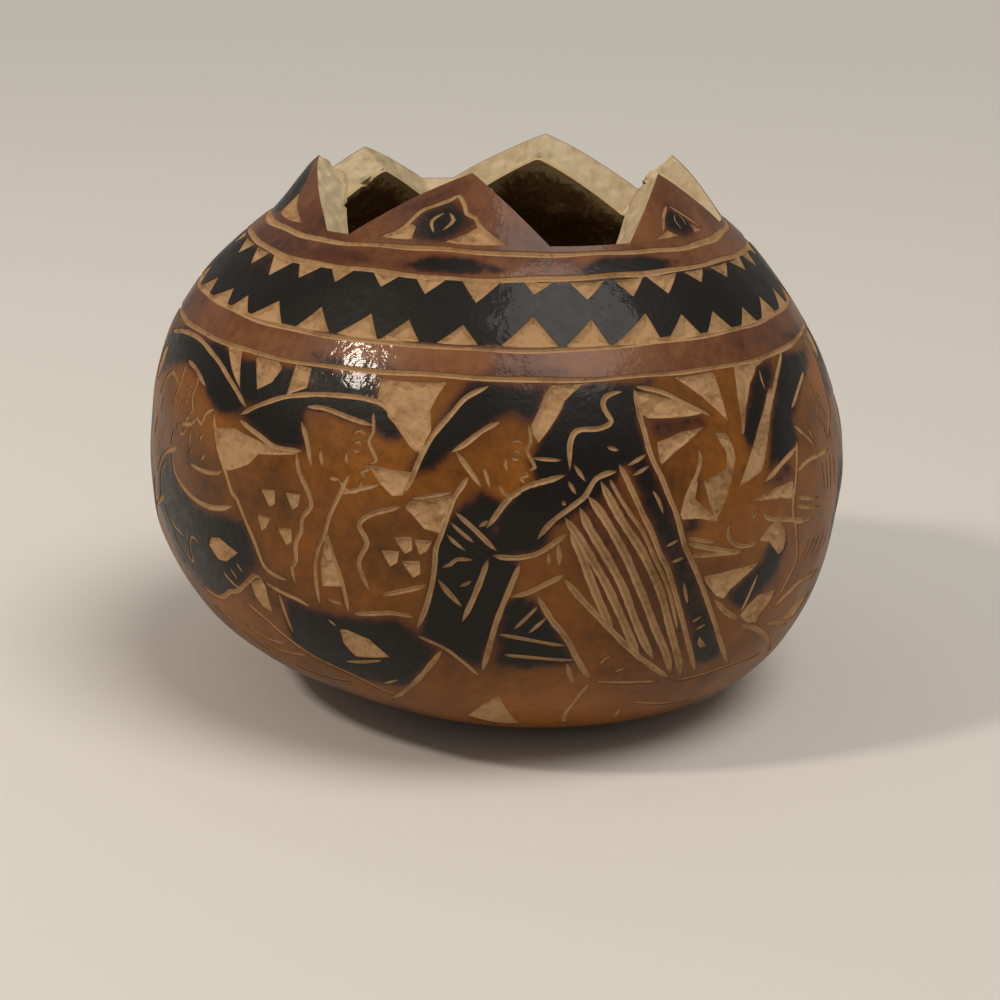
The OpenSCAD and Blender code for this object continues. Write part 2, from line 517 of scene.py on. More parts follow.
        inside = np.full(len(flat), self.equator_h)
        height = self._solve(inside, np.full(len(flat), -6.0), at)
        point = at(height)
        normal = self.normal(point)
        if sanded:
            foot = height < 0
            point[foot, 2] = 0.0
            normal[foot] = (0.0, 0.0, -1.0)
        return point, normal


class Chart:
    """Lays the skin out flat: the lower end in the middle and the rim round the outside.

    The layout keeps angles nearly true, so a small shape on the skin keeps its form, and a
    length there is the layout's length divided by the scale at that place.
    """

    def __init__(self, skin: Skin) -> None:
        """Works out how far from the middle each height lies."""
        self.skin = skin
        self.heights = np.arange(skin.low_h, 78.0, 0.25)
        point, _ = skin.side(np.full(len(self.heights), math.pi / 2), self.heights)
        other, _ = skin.side(np.full(len(self.heights), -math.pi / 2), self.heights)
        self.mean_r = (np.abs(point[:, 0]) + np.abs(other[:, 0])) / 2
        step = np.hypot(np.diff(self.mean_r), np.diff(self.heights))
        self.run = np.concatenate([[0.0], np.cumsum(step)])
        middle_r = (self.mean_r[1:] + self.mean_r[:-1]) / 2
        self.rho = self.mean_r[0] * np.exp(np.concatenate([[0.0], np.cumsum(step / middle_r)]))

    def levels(self, spacing: float) -> Iterable[tuple[float, np.ndarray]]:
        """Gives evenly spaced points up the whole side, level by level.

        Args:
            spacing: Distance between the points, in millimetres.

        Yields:
            The height of each level, and the angles of its points, in radians.
        """
        for i, at in enumerate(np.arange(0.0, self.run[-1], spacing * 0.87)):
            height = float(np.interp(at, self.run, self.heights))
            radius = float(np.interp(height, self.heights, self.mean_r))
            count = int(2 * math.pi * radius / spacing)
            yield height, (np.arange(count) + 0.5 * (i % 2)) * 2 * math.pi / count

    def foot_grid(self, spacing: float) -> np.ndarray:
        """Returns evenly spaced points over the layout of the lower end."""
        reach = self.rho[0]
        return square_grid((-reach, -reach), (reach, reach), spacing)

    def spread(self, turn: np.ndarray, height: np.ndarray) -> np.ndarray:
        """Returns places in the layout, from angles in radians and heights."""
        turn, height = np.broadcast_arrays(np.asarray(turn, float), np.asarray(height, float))
        rho = np.interp(height, self.heights, self.rho)
        low = height < self.skin.low_h
        if low.any():
            base = self.skin.radius(turn[low], np.full(low.sum(), self.skin.low_h))
            rho[low] = self.rho[0] * self.skin.radius(turn[low], height[low]) / base
        return polar(turn, rho)

    def places(self, places: Sequence[Place]) -> np.ndarray:
        """Returns the layout's points of places in degrees and millimetres."""
        rows = np.array(places, float)
        return self.spread(np.radians(rows[:, 0]), rows[:, 1])

    def read(self, flat: np.ndarray) -> tuple[np.ndarray, np.ndarray]:
        """Returns angles and heights of the layout's points, with 0 below the side."""
        rho = np.linalg.norm(flat, axis=1)
        turn = np.arctan2(flat[:, 1], flat[:, 0])
        return turn, np.where(rho < self.rho[0], 0.0, np.interp(rho, self.rho, self.heights))

    def scale(self, flat: np.ndarray) -> np.ndarray:
        """Returns the layout's length of one millimetre on the skin."""
        rho = np.linalg.norm(flat, axis=1)
        radius = np.interp(rho, self.rho, self.mean_r)
        return np.where(rho < self.rho[0], 1.0, rho / radius)

    def lift(self, flat: np.ndarray, sanded: bool = True) -> tuple[np.ndarray, np.ndarray]:
        """Raises the layout's points back onto the gourd.

        Args:
            flat: Rows of the layout's x and y.
            sanded: Whether the foot is sanded flat.

        Returns:
            Points and outward directions on the skin.
        """
        rho = np.linalg.norm(flat, axis=1)
        turn, height = self.read(flat)
        point, normal = np.zeros((len(flat), 3)), np.zeros((len(flat), 3))
        low = rho < self.rho[0]
        point[~low], normal[~low] = self.skin.side(turn[~low], height[~low])
        if low.any():
            base = self.skin.radius(turn[low], np.full(low.sum(), self.skin.low_h))
            reach = rho[low] / self.rho[0] * base
            point[low], normal[low] = self.skin.under(
                outward(turn[low]) * reach[:, None], sanded)
        return point, normal


class Groove:
    """A cut laid out on the chart: its middle line, half widths and outline.

    Attributes:
        SLOPE: Depth gained for each millimetre in from the groove's edge.
        STEP: Distance between the points along it, in millimetres.
        RUN_OUT: Length over which an end runs out, in widths.
    """

    SLOPE = 0.85
    STEP = 0.8
    RUN_OUT = 2.6

    def __init__(self, cut: Cut, chart: Chart) -> None:
        """Lays the cut's middle and its two edges out.

        Args:
            cut: The cut.
            chart: The layout of the skin.
        """
        line = chart.places(cut.places)
        scale = float(chart.scale(line).mean())
        self.line = smooth_line(line, self.STEP * scale)
        if len(self.line) < 4:
            self.line = smooth_line(line, np.linalg.norm(line[1] - line[0]) / 3.5)
        t = np.linspace(0.0, 1.0, len(self.line))
        scales = chart.scale(self.line)
        length = np.linalg.norm(np.diff(self.line, axis=0), axis=1).sum() / scale
        run_out = min(0.5, max(0.06, self.RUN_OUT * cut.width / length))
        from_end = np.clip(np.minimum(t, 1 - t) / run_out, 0, 1)
        place = self.line / scale
        waver = 0.05 * np.sin(place[:, 0] * 1.1 + place[:, 1] * 0.7)
        waver += 0.06 * np.sin(place[:, 1] * 6.1 - place[:, 0] * 4.3)
        self.half = np.sin(from_end * math.pi / 2) * (1 + waver) * cut.width / 2
        run = np.gradient(self.line, axis=0)
        run /= np.maximum(np.linalg.norm(run, axis=1, keepdims=True), 1e-9)
        aside = np.stack([-run[:, 1], run[:, 0]], axis=1) * (self.half * scales)[:, None]
        left, right = self.line + aside, (self.line - aside)[::-1]
        self.outline = np.vstack([left, right[1:-1]])
        self.reach = self.half.max() * scales.max() * 1.05 + 0.5 * scale

    def near(self, flat: np.ndarray) -> np.ndarray:
        """Returns the indexes of points that lie in the groove's box."""
        return boxed(flat, self.line, self.reach)

    def depth(self, flat: np.ndarray, scale: np.ndarray) -> np.ndarray:
        """Returns how deep the V is at points, negative outside it, in millimetres."""
        gap, where = nearest(flat, self.line, closed=False)
        half = np.interp(where, np.arange(len(self.half)), self.half)
        return (half - gap / scale) * self.SLOPE


@dataclass(frozen=True)
class Tooth:
    """One tooth of the rim: its left corner, tip and right corner, and its tip's height."""

    left: float
    tip: float
    right: float
    height: float


@dataclass
class Rim:
    """The sawn edge: six teeth with flat notch floors between some of them.

    Attributes:
        skin: The gourd's outside.
        floor_h: Height of the notch floors above the neck's root, in millimetres.
        step: Distance between the edge's points, in degrees.
        teeth: The teeth in turn, with their tips' heights above the neck's root.
    """

    skin: Skin
    floor_h: float = 1.0
    step: float = 1.0
    teeth: tuple[Tooth, ...] = (
        Tooth(-39, -9.5, 11, 8.9), Tooth(32, 55.5, 77, 8.1), Tooth(83, 105.5, 131, 8.1),
        Tooth(138, 166, 195, 8.7), Tooth(204, 232, 252, 7.2), Tooth(257, 280, 313, 8.2))

    def __post_init__(self) -> None:
        """Lays the sawn edge out as heights round the rim."""
        slope = self.skin.neck_slope
        _, root = self.skin.neck()
        # A straight saw cut on the cone: a straight line once the cone is laid flat.
        fold = math.cos(slope)
        reach = root / fold
        share = np.linspace(0, 1, 13)[:-1, None]
        turns, heights = [], []
        for tooth in self.teeth:
            for start, end, low, high in ((tooth.left, tooth.tip, self.floor_h, tooth.height),
                                          (tooth.tip, tooth.right, tooth.height, self.floor_h)):
                span = math.radians(end - start) * fold
                first = np.array([reach - low / math.sin(slope), 0.0])
                last = np.array([math.cos(span), math.sin(span)]) * (reach - high / math.sin(slope))
                line = first + (last - first) * share
                rise = (reach - np.linalg.norm(line, axis=1)) * math.sin(slope)
                turns.extend(np.degrees(np.arctan2(line[:, 1], line[:, 0]) / fold) + start)
                heights.extend(rise + self.skin.rim_h)
            turns.append(tooth.right)
            heights.append(self.skin.rim_h + self.floor_h)
        self._turns = np.array(turns)
        self._heights = np.array(heights)

    def height(self, turn: np.ndarray) -> np.ndarray:
        """Returns the sawn edge's height at angles in radians."""
        return np.interp(np.degrees(turn), self._turns, self._heights, period=360.0)

    def turns(self) -> np.ndarray:
        """Returns the angles of the edge's points, with every corner among them."""
        spaced = np.arange(-180.0, 180.0, self.step)
        corners = np.array([v for t in self.teeth for v in (t.left, t.tip, t.right)])
        corners = np.mod(corners + 180.0, 360.0) - 180.0
        spaced = spaced[np.abs(spaced[:, None] - corners[None, :]).min(axis=1) > 0.3]
        return np.radians(np.sort(np.concatenate([spaced, corners])))


class Carving:
    """All the knife and burin work on the outside, as one triangulated sheet.

    The sheet covers the whole skin up to the sawn rim. Each triangle is either rind or cut,
    and each of its points has a depth below the skin and a darkness of its burn.

    Attributes:
        FILL: Distance between loose points on uncut rind, in millimetres.
        CHIP_FILL: Distance between loose points on a chip's floor.
        RIND: Thickness of the rind's islands.
        SHOULDER_RISE: Height gained for each millimetre up the shoulder.
        TORN_EDGE: Depth gained for each millimetre in from a chip's edge.
    """

    FILL = 1.05
    CHIP_FILL = 0.55
    RIND = 0.09
    SHOULDER_RISE = 0.72
    TORN_EDGE = 1.6

    def __init__(self, chart: Chart, rim: Rim) -> None:
        """Starts a bare sheet.

        Args:
            chart: The layout of the skin.
            rim: The sawn rim that ends the sheet.
        """
        self.chart = chart
        self.rim = rim
        self.points: list[np.ndarray] = []
        self.edges: list[np.ndarray] = []
        self.count = 0
        self.grooves: list[Groove] = []
        self.chips: list[tuple[np.ndarray, Chip]] = []
        self.scorches: list[tuple[np.ndarray, Scorch]] = []
        self.rings: list[tuple[np.ndarray, np.ndarray, np.ndarray]] = []
        self.pits: list[tuple[np.ndarray, float]] = []
        self.rng = np.random.default_rng(11)

    def _add(self, points: np.ndarray, closed: bool, joined: bool = True) -> None:
        """Adds points to the sheet.

        Args:
            points: Rows of the layout's x and y.
            closed: Whether the last point joins the first.
            joined: Whether edges that the triangles keep join the points.
        """
        index = np.arange(self.count, self.count + len(points))
        self.points.append(points)
        self.count += len(points)
        if joined:
            ends = np.roll(index, -1) if closed else index[1:]
            self.edges.append(np.stack([index[:len(ends)], ends], axis=1))

    def add(self, motif: Motif) -> None:
        """Lays a motif out on the sheet, with finer points for the floors of its chips.

        Args:
            motif: The cuts, chips and burns that belong together.
        """
        for cut in motif.cuts:
            groove = Groove(cut, self.chart)
            self.grooves.append(groove)
            self._add(groove.outline, closed=True)
            self._add(groove.line, closed=False)
        for chip in motif.chips:
            corners = self.chart.places(chip.places)
            scale = float(self.chart.scale(corners).mean())
            outline = straight_outline(corners, 0.9 * scale)
            self.chips.append((outline, chip))
            self._add(outline, closed=True)
            step = self.CHIP_FILL * scale
            floor = square_grid(outline.min(axis=0), outline.max(axis=0), step)
            floor += self.rng.uniform(-0.3, 0.3, floor.shape) * step
            floor = floor[within(floor, outline)]
            gap, _ = nearest(floor, outline, closed=True)
            self._add(floor[gap > 0.25 * step], closed=False, joined=False)
        for scorch in motif.scorches:
            self.scorches.append((self.chart.places(scorch.places), scorch))

    def add_ring(self, height: float, width: float) -> None:
        """Runs a V groove all round, a little wavering as by hand.

        Args:
            height: Its height, in millimetres.
            width: Its width, in millimetres.
        """
        turn = np.radians(np.arange(0.0, 360.0, 1.25))
        waver = 0.17 * np.sin(3 * turn + height) + 0.09 * np.sin(8 * turn + 2 * height)
        waver += 0.05 * np.sin(21 * turn + 3 * height)
        grow = 1 + 0.14 * np.sin(5 * turn + height) + 0.1 * np.sin(13 * turn)
        middle, half = height + waver, width / 2 * grow
        for side in (-1.0, 1.0, 0.0):
            edge = middle + side * half * self.SHOULDER_RISE
            self._add(self.chart.spread(turn, edge), closed=True)
        self.rings.append((np.append(turn, 2 * math.pi), np.append(middle, middle[0]),
                           np.append(half, half[0])))

    def add_pit(self, outline: np.ndarray, depth: float) -> None:
        """Sinks a flat pit in the foot.

        Args:
            outline: Rows of x and y in millimetres.
            depth: Depth of the pit, in millimetres.
        """
        turn = np.arctan2(outline[:, 0], -outline[:, 1])
        reach = np.hypot(outline[:, 0], outline[:, 1])
        skin = self.chart.skin
        rho = self.chart.rho[0] * reach / skin.radius(turn, np.full(len(turn), skin.low_h))
        flat = polar(turn, rho)
        self.pits.append((flat, depth))
        self._add(flat, closed=True)
        middle = flat.mean(axis=0)
        self._add(middle + (flat - middle) * 0.97, closed=True)

    def _ring_depth(self, flat: np.ndarray) -> np.ndarray:
        """Returns how deep the ring grooves are at points, negative outside them."""
        turn, height = self.chart.read(flat)
        turn = np.mod(turn, 2 * math.pi)
        depth = np.full(len(turn), -1.0)
        for turns, middle, half in self.rings:
            off = np.abs(height - np.interp(turn, turns, middle)) / self.SHOULDER_RISE
            depth = np.maximum(depth, (np.interp(turn, turns, half) - off) * Groove.SLOPE)
        return depth

    def _fill(self) -> np.ndarray:
        """Returns loose points over the whole skin that keep clear of every cut."""
        chart, size = self.chart, self.FILL
        rows = []
        for height, turn in chart.levels(size):
            count = len(turn)
            turn = turn + self.rng.uniform(-0.22, 0.22, count) * 2 * math.pi / count
            level = height + self.rng.uniform(-0.2, 0.2, count) * size
            keep = level < self.rim.height(turn) - 0.35
            rows.append(chart.spread(turn[keep], np.maximum(level[keep], chart.skin.low_h)))
        low = chart.foot_grid(size)
        low += self.rng.uniform(-0.2, 0.2, low.shape) * size
        rows.append(low[np.linalg.norm(low, axis=1) < chart.rho[0] - 0.4])
        fill = np.vstack(rows)
        keep = self._ring_depth(fill) < -0.25
        scale = chart.scale(fill)
        for groove in self.grooves:
            near = groove.near(fill)
            keep[near] &= groove.depth(fill[near], scale[near]) < -0.22
        for outline, _ in self.chips:
            near = boxed(fill, outline, 0.6 * scale.max())
            gap, _ = nearest(fill[near], outline, closed=True)
            keep[near] &= (gap / scale[near] > 0.3) & ~within(fill[near], outline)
        return fill[keep]

    def triangulate(self) -> None:
        """Makes the sheet's triangles, and works out its depths and burns."""
        chart = self.chart
        rim_turn = self.rim.turns()
        self._add(chart.spread(rim_turn, self.rim.height(rim_turn)), closed=True)
        self._add(self._fill(), closed=False, joined=False)
        flat, faces, _ = triangles(np.vstack(self.points), np.vstack(self.edges).tolist(), 1e-4)
        turn, height = chart.read(flat[faces].mean(axis=1))
        faces = faces[height < self.rim.height(turn)]
        self.flat, self.faces = flat, faces[:, ::-1]
        self.point, self.normal = chart.lift(flat)
        uneven = 0.22 * ripple(self.point, 34.0, 5) + 0.05 * ripple(self.point, 9.0, 6)
        foot = smoothstep(0.3, 6.0, self.point[:, 2])
        self.point = self.point + self.normal * (uneven * foot)[:, None]
        self._label()
        self._burn()
        LOG.info("sheet: %d points, %d triangles", len(self.flat), len(self.faces))

    def _label(self) -> None:
        """Finds which triangles are cut, and the depth of every point."""
        flat = self.flat
        scale = self.chart.scale(flat)
        middle = flat[self.faces].mean(axis=1)
        cut = self._ring_depth(middle) > 0
        depth = np.maximum(self._ring_depth(flat), 0.0)
        for groove in self.grooves:
            near = groove.near(middle)
            cut[near] |= within(middle[near], groove.outline)
            near = groove.near(flat)
            depth[near] = np.maximum(depth[near], groove.depth(flat[near], scale[near]))
        for outline, chip in self.chips:
            near = boxed(middle, outline)
            cut[near[within(middle[near], outline)]] = True
            near = boxed(flat, outline)
            gap, _ = nearest(flat[near], outline, closed=True)
            inside = within(flat[near], outline) & (gap > 1e-3)
            near, gap = near[inside], gap[inside] / scale[near[inside]]
            torn = chip.rough * (ripple(self.point[near], 1.3, 21)
                                 + 0.8 * ripple(self.point[near] * [1, 1, 0.25], 0.8, 22))
            floor = np.minimum(gap * self.TORN_EDGE, chip.depth + torn)
            depth[near] = np.maximum(depth[near], floor)
        for outline, pit in self.pits:
            cut |= within(middle, outline)
            centre = outline.mean(axis=0)
            inside = within(flat, centre + (outline - centre) * 0.98)
            depth[inside] = np.maximum(depth[inside], pit)
        self.cut, self.depth = cut, depth

    def _burn(self) -> None:
        """Works out how dark every point is burnt."""
        self.burn = np.zeros(len(self.flat))
        scale = self.chart.scale(self.flat)
        for outline, scorch in self.scorches:
            near = boxed(self.flat, outline, 2.0 * scorch.soft * float(scale.max()))
            gap, _ = nearest(self.flat[near], outline, closed=True)
            gap = np.where(within(self.flat[near], outline), gap, -gap) / scale[near]
            dark = scorch.strength * smoothstep(-scorch.soft, scorch.soft, gap)
            self.burn[near] = np.maximum(self.burn[near], dark)


def link(obj: bpy.types.Object) -> bpy.types.Object:
    """Puts an object in the scene and returns it."""
    bpy.context.scene.collection.objects.link(obj)
    return obj


def alone(obj: bpy.types.Object) -> bpy.types.Object:
    """Makes an object the only selected one and the active one."""
    bpy.ops.object.select_all(action="DESELECT")
    obj.select_set(True)
    bpy.context.view_layer.objects.active = obj
    return obj


def mesh_piece(name: str, points: np.ndarray, faces: Sequence[Sequence[int]],
               marks: dict[str, np.ndarray] | None = None) -> bpy.types.Object:
    """Makes a mesh object.

    Args:
        name: The piece's name.
        points: Rows of x, y and z in millimetres.
        faces: Rows of point indexes.
        marks: Values for each point, by name, that materials read.

    Returns:
        The object, at the origin, with its place in its mesh.
    """
    mesh = bpy.data.meshes.new(name)
    mesh.from_pydata((points * MM).tolist(), [], [list(f) for f in faces])
    for mark, values in (marks or {}).items():
        layer = mesh.attributes.new(mark, "FLOAT", "POINT")
        layer.data.foreach_set("value", np.asarray(values, np.float32))
    mesh.update()
    return link(bpy.data.objects.new(name, mesh))


def pick(points: np.ndarray, faces: np.ndarray,
         marks: dict[str, np.ndarray]) -> tuple[np.ndarray, np.ndarray, dict[str, np.ndarray]]:
    """Keeps only the points that some triangles use."""
    used, index = np.unique(faces, return_inverse=True)
    return points[used], index.reshape(faces.shape), {k: v[used] for k, v in marks.items()}


def finish(piece: bpy.types.Object, node: str, crease: float, wall: float = 0.0,
           side: float = -1.0) -> bpy.types.Object:
    """Gives a piece its wall and its shading, hangs it on the body and hides the CAD part it dresses.

    Args:
        piece: The piece's object.
        node: The CAD node that it stands for.
        crease: Angle above which an edge stays sharp, in degrees.
        wall: Thickness that it gets, in millimetres, or 0 for a piece that is already solid.
        side: -1 to thicken it inwards and 1 to thicken it outwards.

    Returns:
        The piece.
    """
    alone(piece)
    if wall:
        solid = piece.modifiers.new("thickness", "SOLIDIFY")
        solid.thickness = wall * MM
        solid.offset = side
        bpy.ops.object.modifier_apply(modifier=solid.name)
    bpy.ops.object.shade_smooth_by_angle(angle=math.radians(crease))
    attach(piece, BODY)
    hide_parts(node)
    LOG.info("%s: %d faces", piece.name, len(piece.data.polygons))
    return piece


def srgb(code: str) -> tuple[float, float, float, float]:
    """Turns an sRGB hex colour into the linear one that shaders take."""
    values = [int(code[i:i + 2], 16) / 255 for i in (1, 3, 5)]
    linear = [v / 12.92 if v <= 0.04045 else ((v + 0.055) / 1.055) ** 2.4 for v in values]
    return (*linear, 1.0)


class Nodes:
    """A material's node tree, with one way to add a node."""

    def __init__(self, name: str) -> None:
        """Starts a material with a Principled shader."""
        self.material = bpy.data.materials.new(name)
        self.material.use_nodes = True
        self.tree = self.material.node_tree
        self.tree.nodes.clear()
        self.shader = self.tree.nodes.new("ShaderNodeBsdfPrincipled")
        self.add("ShaderNodeOutputMaterial", {"Surface": self.shader.outputs[0]}, out=None)

    def feed(self, node: bpy.types.Node, inputs: dict[int | str, object]) -> None:
        """Gives a node's sockets their values, or links them to the sockets that feed them.

        Args:
            node: The node.
            inputs: Values or sockets, by the names or places of the node's own sockets.
        """
        for key, value in inputs.items():
            if isinstance(value, bpy.types.NodeSocket):
                self.tree.links.new(value, node.inputs[key])
            else:
                node.inputs[key].default_value = value

    def add(self, kind: str, inputs: dict[int | str, object], out: int | str | None = 0,
            stops: Sequence[tuple[float, str]] = (), **settings: object) -> bpy.types.NodeSocket:
        """Adds a node with its settings and links.

        Args:
            kind: The kind of node.
            inputs: Values for its sockets, or the sockets that feed them.
            out: Which of its outputs goes on, if any.
            stops: Places and sRGB hex colours along it, where it is a colour ramp.
            **settings: Its other settings.

        Returns:
            The output that goes on.
        """
        node = self.tree.nodes.new(kind)
        for key, value in settings.items():
            setattr(node, key, value)
        for _ in stops[2:]:
            node.color_ramp.elements.new(1.0)
        for k, (place, code) in enumerate(stops):
            node.color_ramp.elements[k].position = place
            node.color_ramp.elements[k].color = srgb(code)
        self.feed(node, inputs)
        return None if out is None else node.outputs[out]

    def dress(self, inputs: dict[int | str, object]) -> bpy.types.Material:
        """Gives the shader its values and links, and returns the material."""
        self.feed(self.shader, inputs)
        return self.material


@dataclass(frozen=True)
class GourdRind:
    """Hard shell gourd rind, scorched with a hot iron and rubbed with a thin oil varnish.

    It gives warm brown with darker mottling, black where it is burnt, and a soft gloss that
    breaks up on the pores.
    """

    name: str = "scorched_varnished_gourd_rind"
    pale: str = "#8e5413"
    middle: str = "#6d3f0d"
    dark: str = "#442709"
    scorched: str = "#43200f"
    burnt: str = "#120d09"
    roughness: float = 0.42
    coat: float = 0.14

    def make(self) -> bpy.types.Material:
        """Builds the material."""
        n = Nodes(self.name)
        place = n.add("ShaderNodeTexCoord", {}, "Object")
        # Each unevenness with the size of its spots in millimetres, its detail and its contrast.
        blotch, grain, pores, crackle = (
            n.add("ShaderNodeTexNoise", {"Vector": place, "Scale": MM_PER_METRE / size,
                                         "Detail": detail, "Roughness": contrast})
            for size, detail, contrast in ((14.0, 4.0, 0.6), (1.6, 5.0, 0.7), (0.9, 6.0, 0.65),
                                           (2.4, 3.0, 0.6)))
        mixed = n.add("ShaderNodeMath", {0: grain, 1: 0.45, 2: blotch}, operation="MULTIPLY_ADD")
        brown = n.add("ShaderNodeValToRGB", {"Fac": mixed}, stops=(
            (0.5, self.dark), (0.7, self.middle), (0.95, self.pale)))
        burn = n.add("ShaderNodeAttribute", {}, "Fac", attribute_name="burn")
        edge = n.add("ShaderNodeMath", {0: grain, 1: 0.55, 2: -0.27}, operation="MULTIPLY_ADD")
        uneven = n.add("ShaderNodeMath", {0: blotch, 1: 1.6, 2: 0.16}, operation="MULTIPLY_ADD")
        total = n.add("ShaderNodeMath", {0: burn, 1: uneven, 2: edge}, operation="MULTIPLY_ADD",
                      use_clamp=True)
        share = n.add("ShaderNodeMapRange", {"Value": total, "From Min": 0.06, "From Max": 0.9},
                      interpolation_type="SMOOTHSTEP")
        soot = n.add("ShaderNodeValToRGB", {"Fac": share}, stops=(
            (0.0, self.scorched), (0.45, self.scorched), (0.85, self.burnt)))
        touched = n.add("ShaderNodeMath", {0: share, 1: 1.8}, operation="MULTIPLY",
                        use_clamp=True)
        gloss = n.add("ShaderNodeMapRange", {
            "Value": grain, "From Min": 0.3, "From Max": 0.7, "To Min": self.roughness - 0.08,
            "To Max": self.roughness + 0.12})
        return n.dress({
            "Base Color": n.add("ShaderNodeMix", {0: touched, 6: brown, 7: soot}, 2,
                                data_type="RGBA"),
            "Roughness": gloss,
            "Normal": n.add("ShaderNodeBump", {"Strength": 0.8, "Distance": 0.11 * MM,
                                               "Height": pores}),
            "Coat Normal": n.add("ShaderNodeBump", {"Strength": 0.7, "Distance": 0.16 * MM,
                                                    "Height": crackle}),
            "Specular IOR Level": 0.18, "Coat Weight": self.coat, "Coat Roughness": 0.09})


@dataclass(frozen=True)
class CutWood:
    """Dry gourd wood laid bare by a blade, which leaves it matte, pale and torn along its fibres.

    Attributes:
        name: The material's name.
        pale: Colour of a clean cut.
        tan: Colour of the darker fibres, which the wood also takes on towards a cut's edge, next to the
            rind.
        fibre_mm: Length of a torn fibre.
        relief: Height of the roughness, in millimetres.
        along: Factor that draws the fibres out upwards, where it is under 1.
    """

    name: str = "burin_cut_gourd_wood"
    pale: str = "#b28d64"
    tan: str = "#85623c"
    fibre_mm: float = 0.8
    relief: float = 0.17
    along: float = 1.0

    def make(self) -> bpy.types.Material:
        """Builds the material."""
        n = Nodes(self.name)
        place = n.add("ShaderNodeTexCoord", {}, "Object")
        drawn = n.add("ShaderNodeVectorMath", {0: place, 1: (1.0, 1.0, self.along)},
                      operation="MULTIPLY")
        dirt, fibre = (
            n.add("ShaderNodeTexNoise", {"Vector": at, "Scale": MM_PER_METRE / size,
                                         "Detail": detail, "Roughness": contrast})
            for at, size, detail, contrast in ((place, 5.0, 5.0, 0.65),
                                               (drawn, self.fibre_mm, 6.0, 0.7)))
        mixed = n.add("ShaderNodeMath", {0: fibre, 1: 0.6, 2: dirt}, operation="MULTIPLY_ADD")
        clean = n.add("ShaderNodeValToRGB", {"Fac": mixed}, stops=(
            (0.55, self.tan), (0.85, self.pale)))
        # The wood darkens towards a cut's edge, where it meets the rind, and keeps its own colour
        # deeper in.
        deep = n.add("ShaderNodeAttribute", {}, "Fac", attribute_name="depth")
        edge = n.add("ShaderNodeMapRange", {"Value": deep, "From Min": 0.0, "From Max": 0.18,
                                            "To Min": 0.5, "To Max": 0.0})
        return n.dress({
            "Base Color": n.add("ShaderNodeMix", {0: edge, 6: clean, 7: srgb(self.tan)}, 2,
                                data_type="RGBA"),
            "Normal": n.add("ShaderNodeBump", {"Strength": 0.8, "Distance": self.relief * MM,
                                               "Height": fibre}),
            "Roughness": 0.85, "Specular IOR Level": 0.25})


@dataclass(frozen=True)
class DriedPith:
    """The gourd's own lining, dried and darkened, with a felt of fibres that catches light."""

    name: str = "dried_gourd_pith"

    def make(self) -> bpy.types.Material:
        """Builds the material."""
        n = Nodes(self.name)
        place = n.add("ShaderNodeTexCoord", {}, "Object")
        felt = n.add("ShaderNodeTexNoise", {
            "Vector": place, "Scale": MM_PER_METRE / 1.7, "Detail": 6.0, "Roughness": 0.7,
            "Distortion": 1.2})
        patch = n.add("ShaderNodeTexNoise", {"Vector": place, "Scale": MM_PER_METRE / 8.0,
                                             "Detail": 3.0})
        mixed = n.add("ShaderNodeMath", {0: patch, 1: 0.7, 2: felt}, operation="MULTIPLY_ADD")
        below = n.add("ShaderNodeAttribute", {}, "Fac", attribute_name="below")
        fade = n.add("ShaderNodeMapRange", {"Value": below, "From Min": 0.0, "From Max": 3.2,
                                            "To Min": 0.3, "To Max": -0.1})
        torn = n.add("ShaderNodeMath", {0: mixed, 1: 1.0, 2: fade}, operation="MULTIPLY_ADD")
        return n.dress({
            "Base Color": n.add("ShaderNodeValToRGB", {"Fac": torn}, stops=(
                (0.66, "#674f30"), (0.8, "#80643d"), (0.92, "#a08256"), (1.0, "#c9b084"))),
            "Normal": n.add("ShaderNodeBump", {"Strength": 0.9, "Distance": 0.3 * MM,
                                               "Height": felt}),
            "Roughness": 0.95, "Specular IOR Level": 0.15})


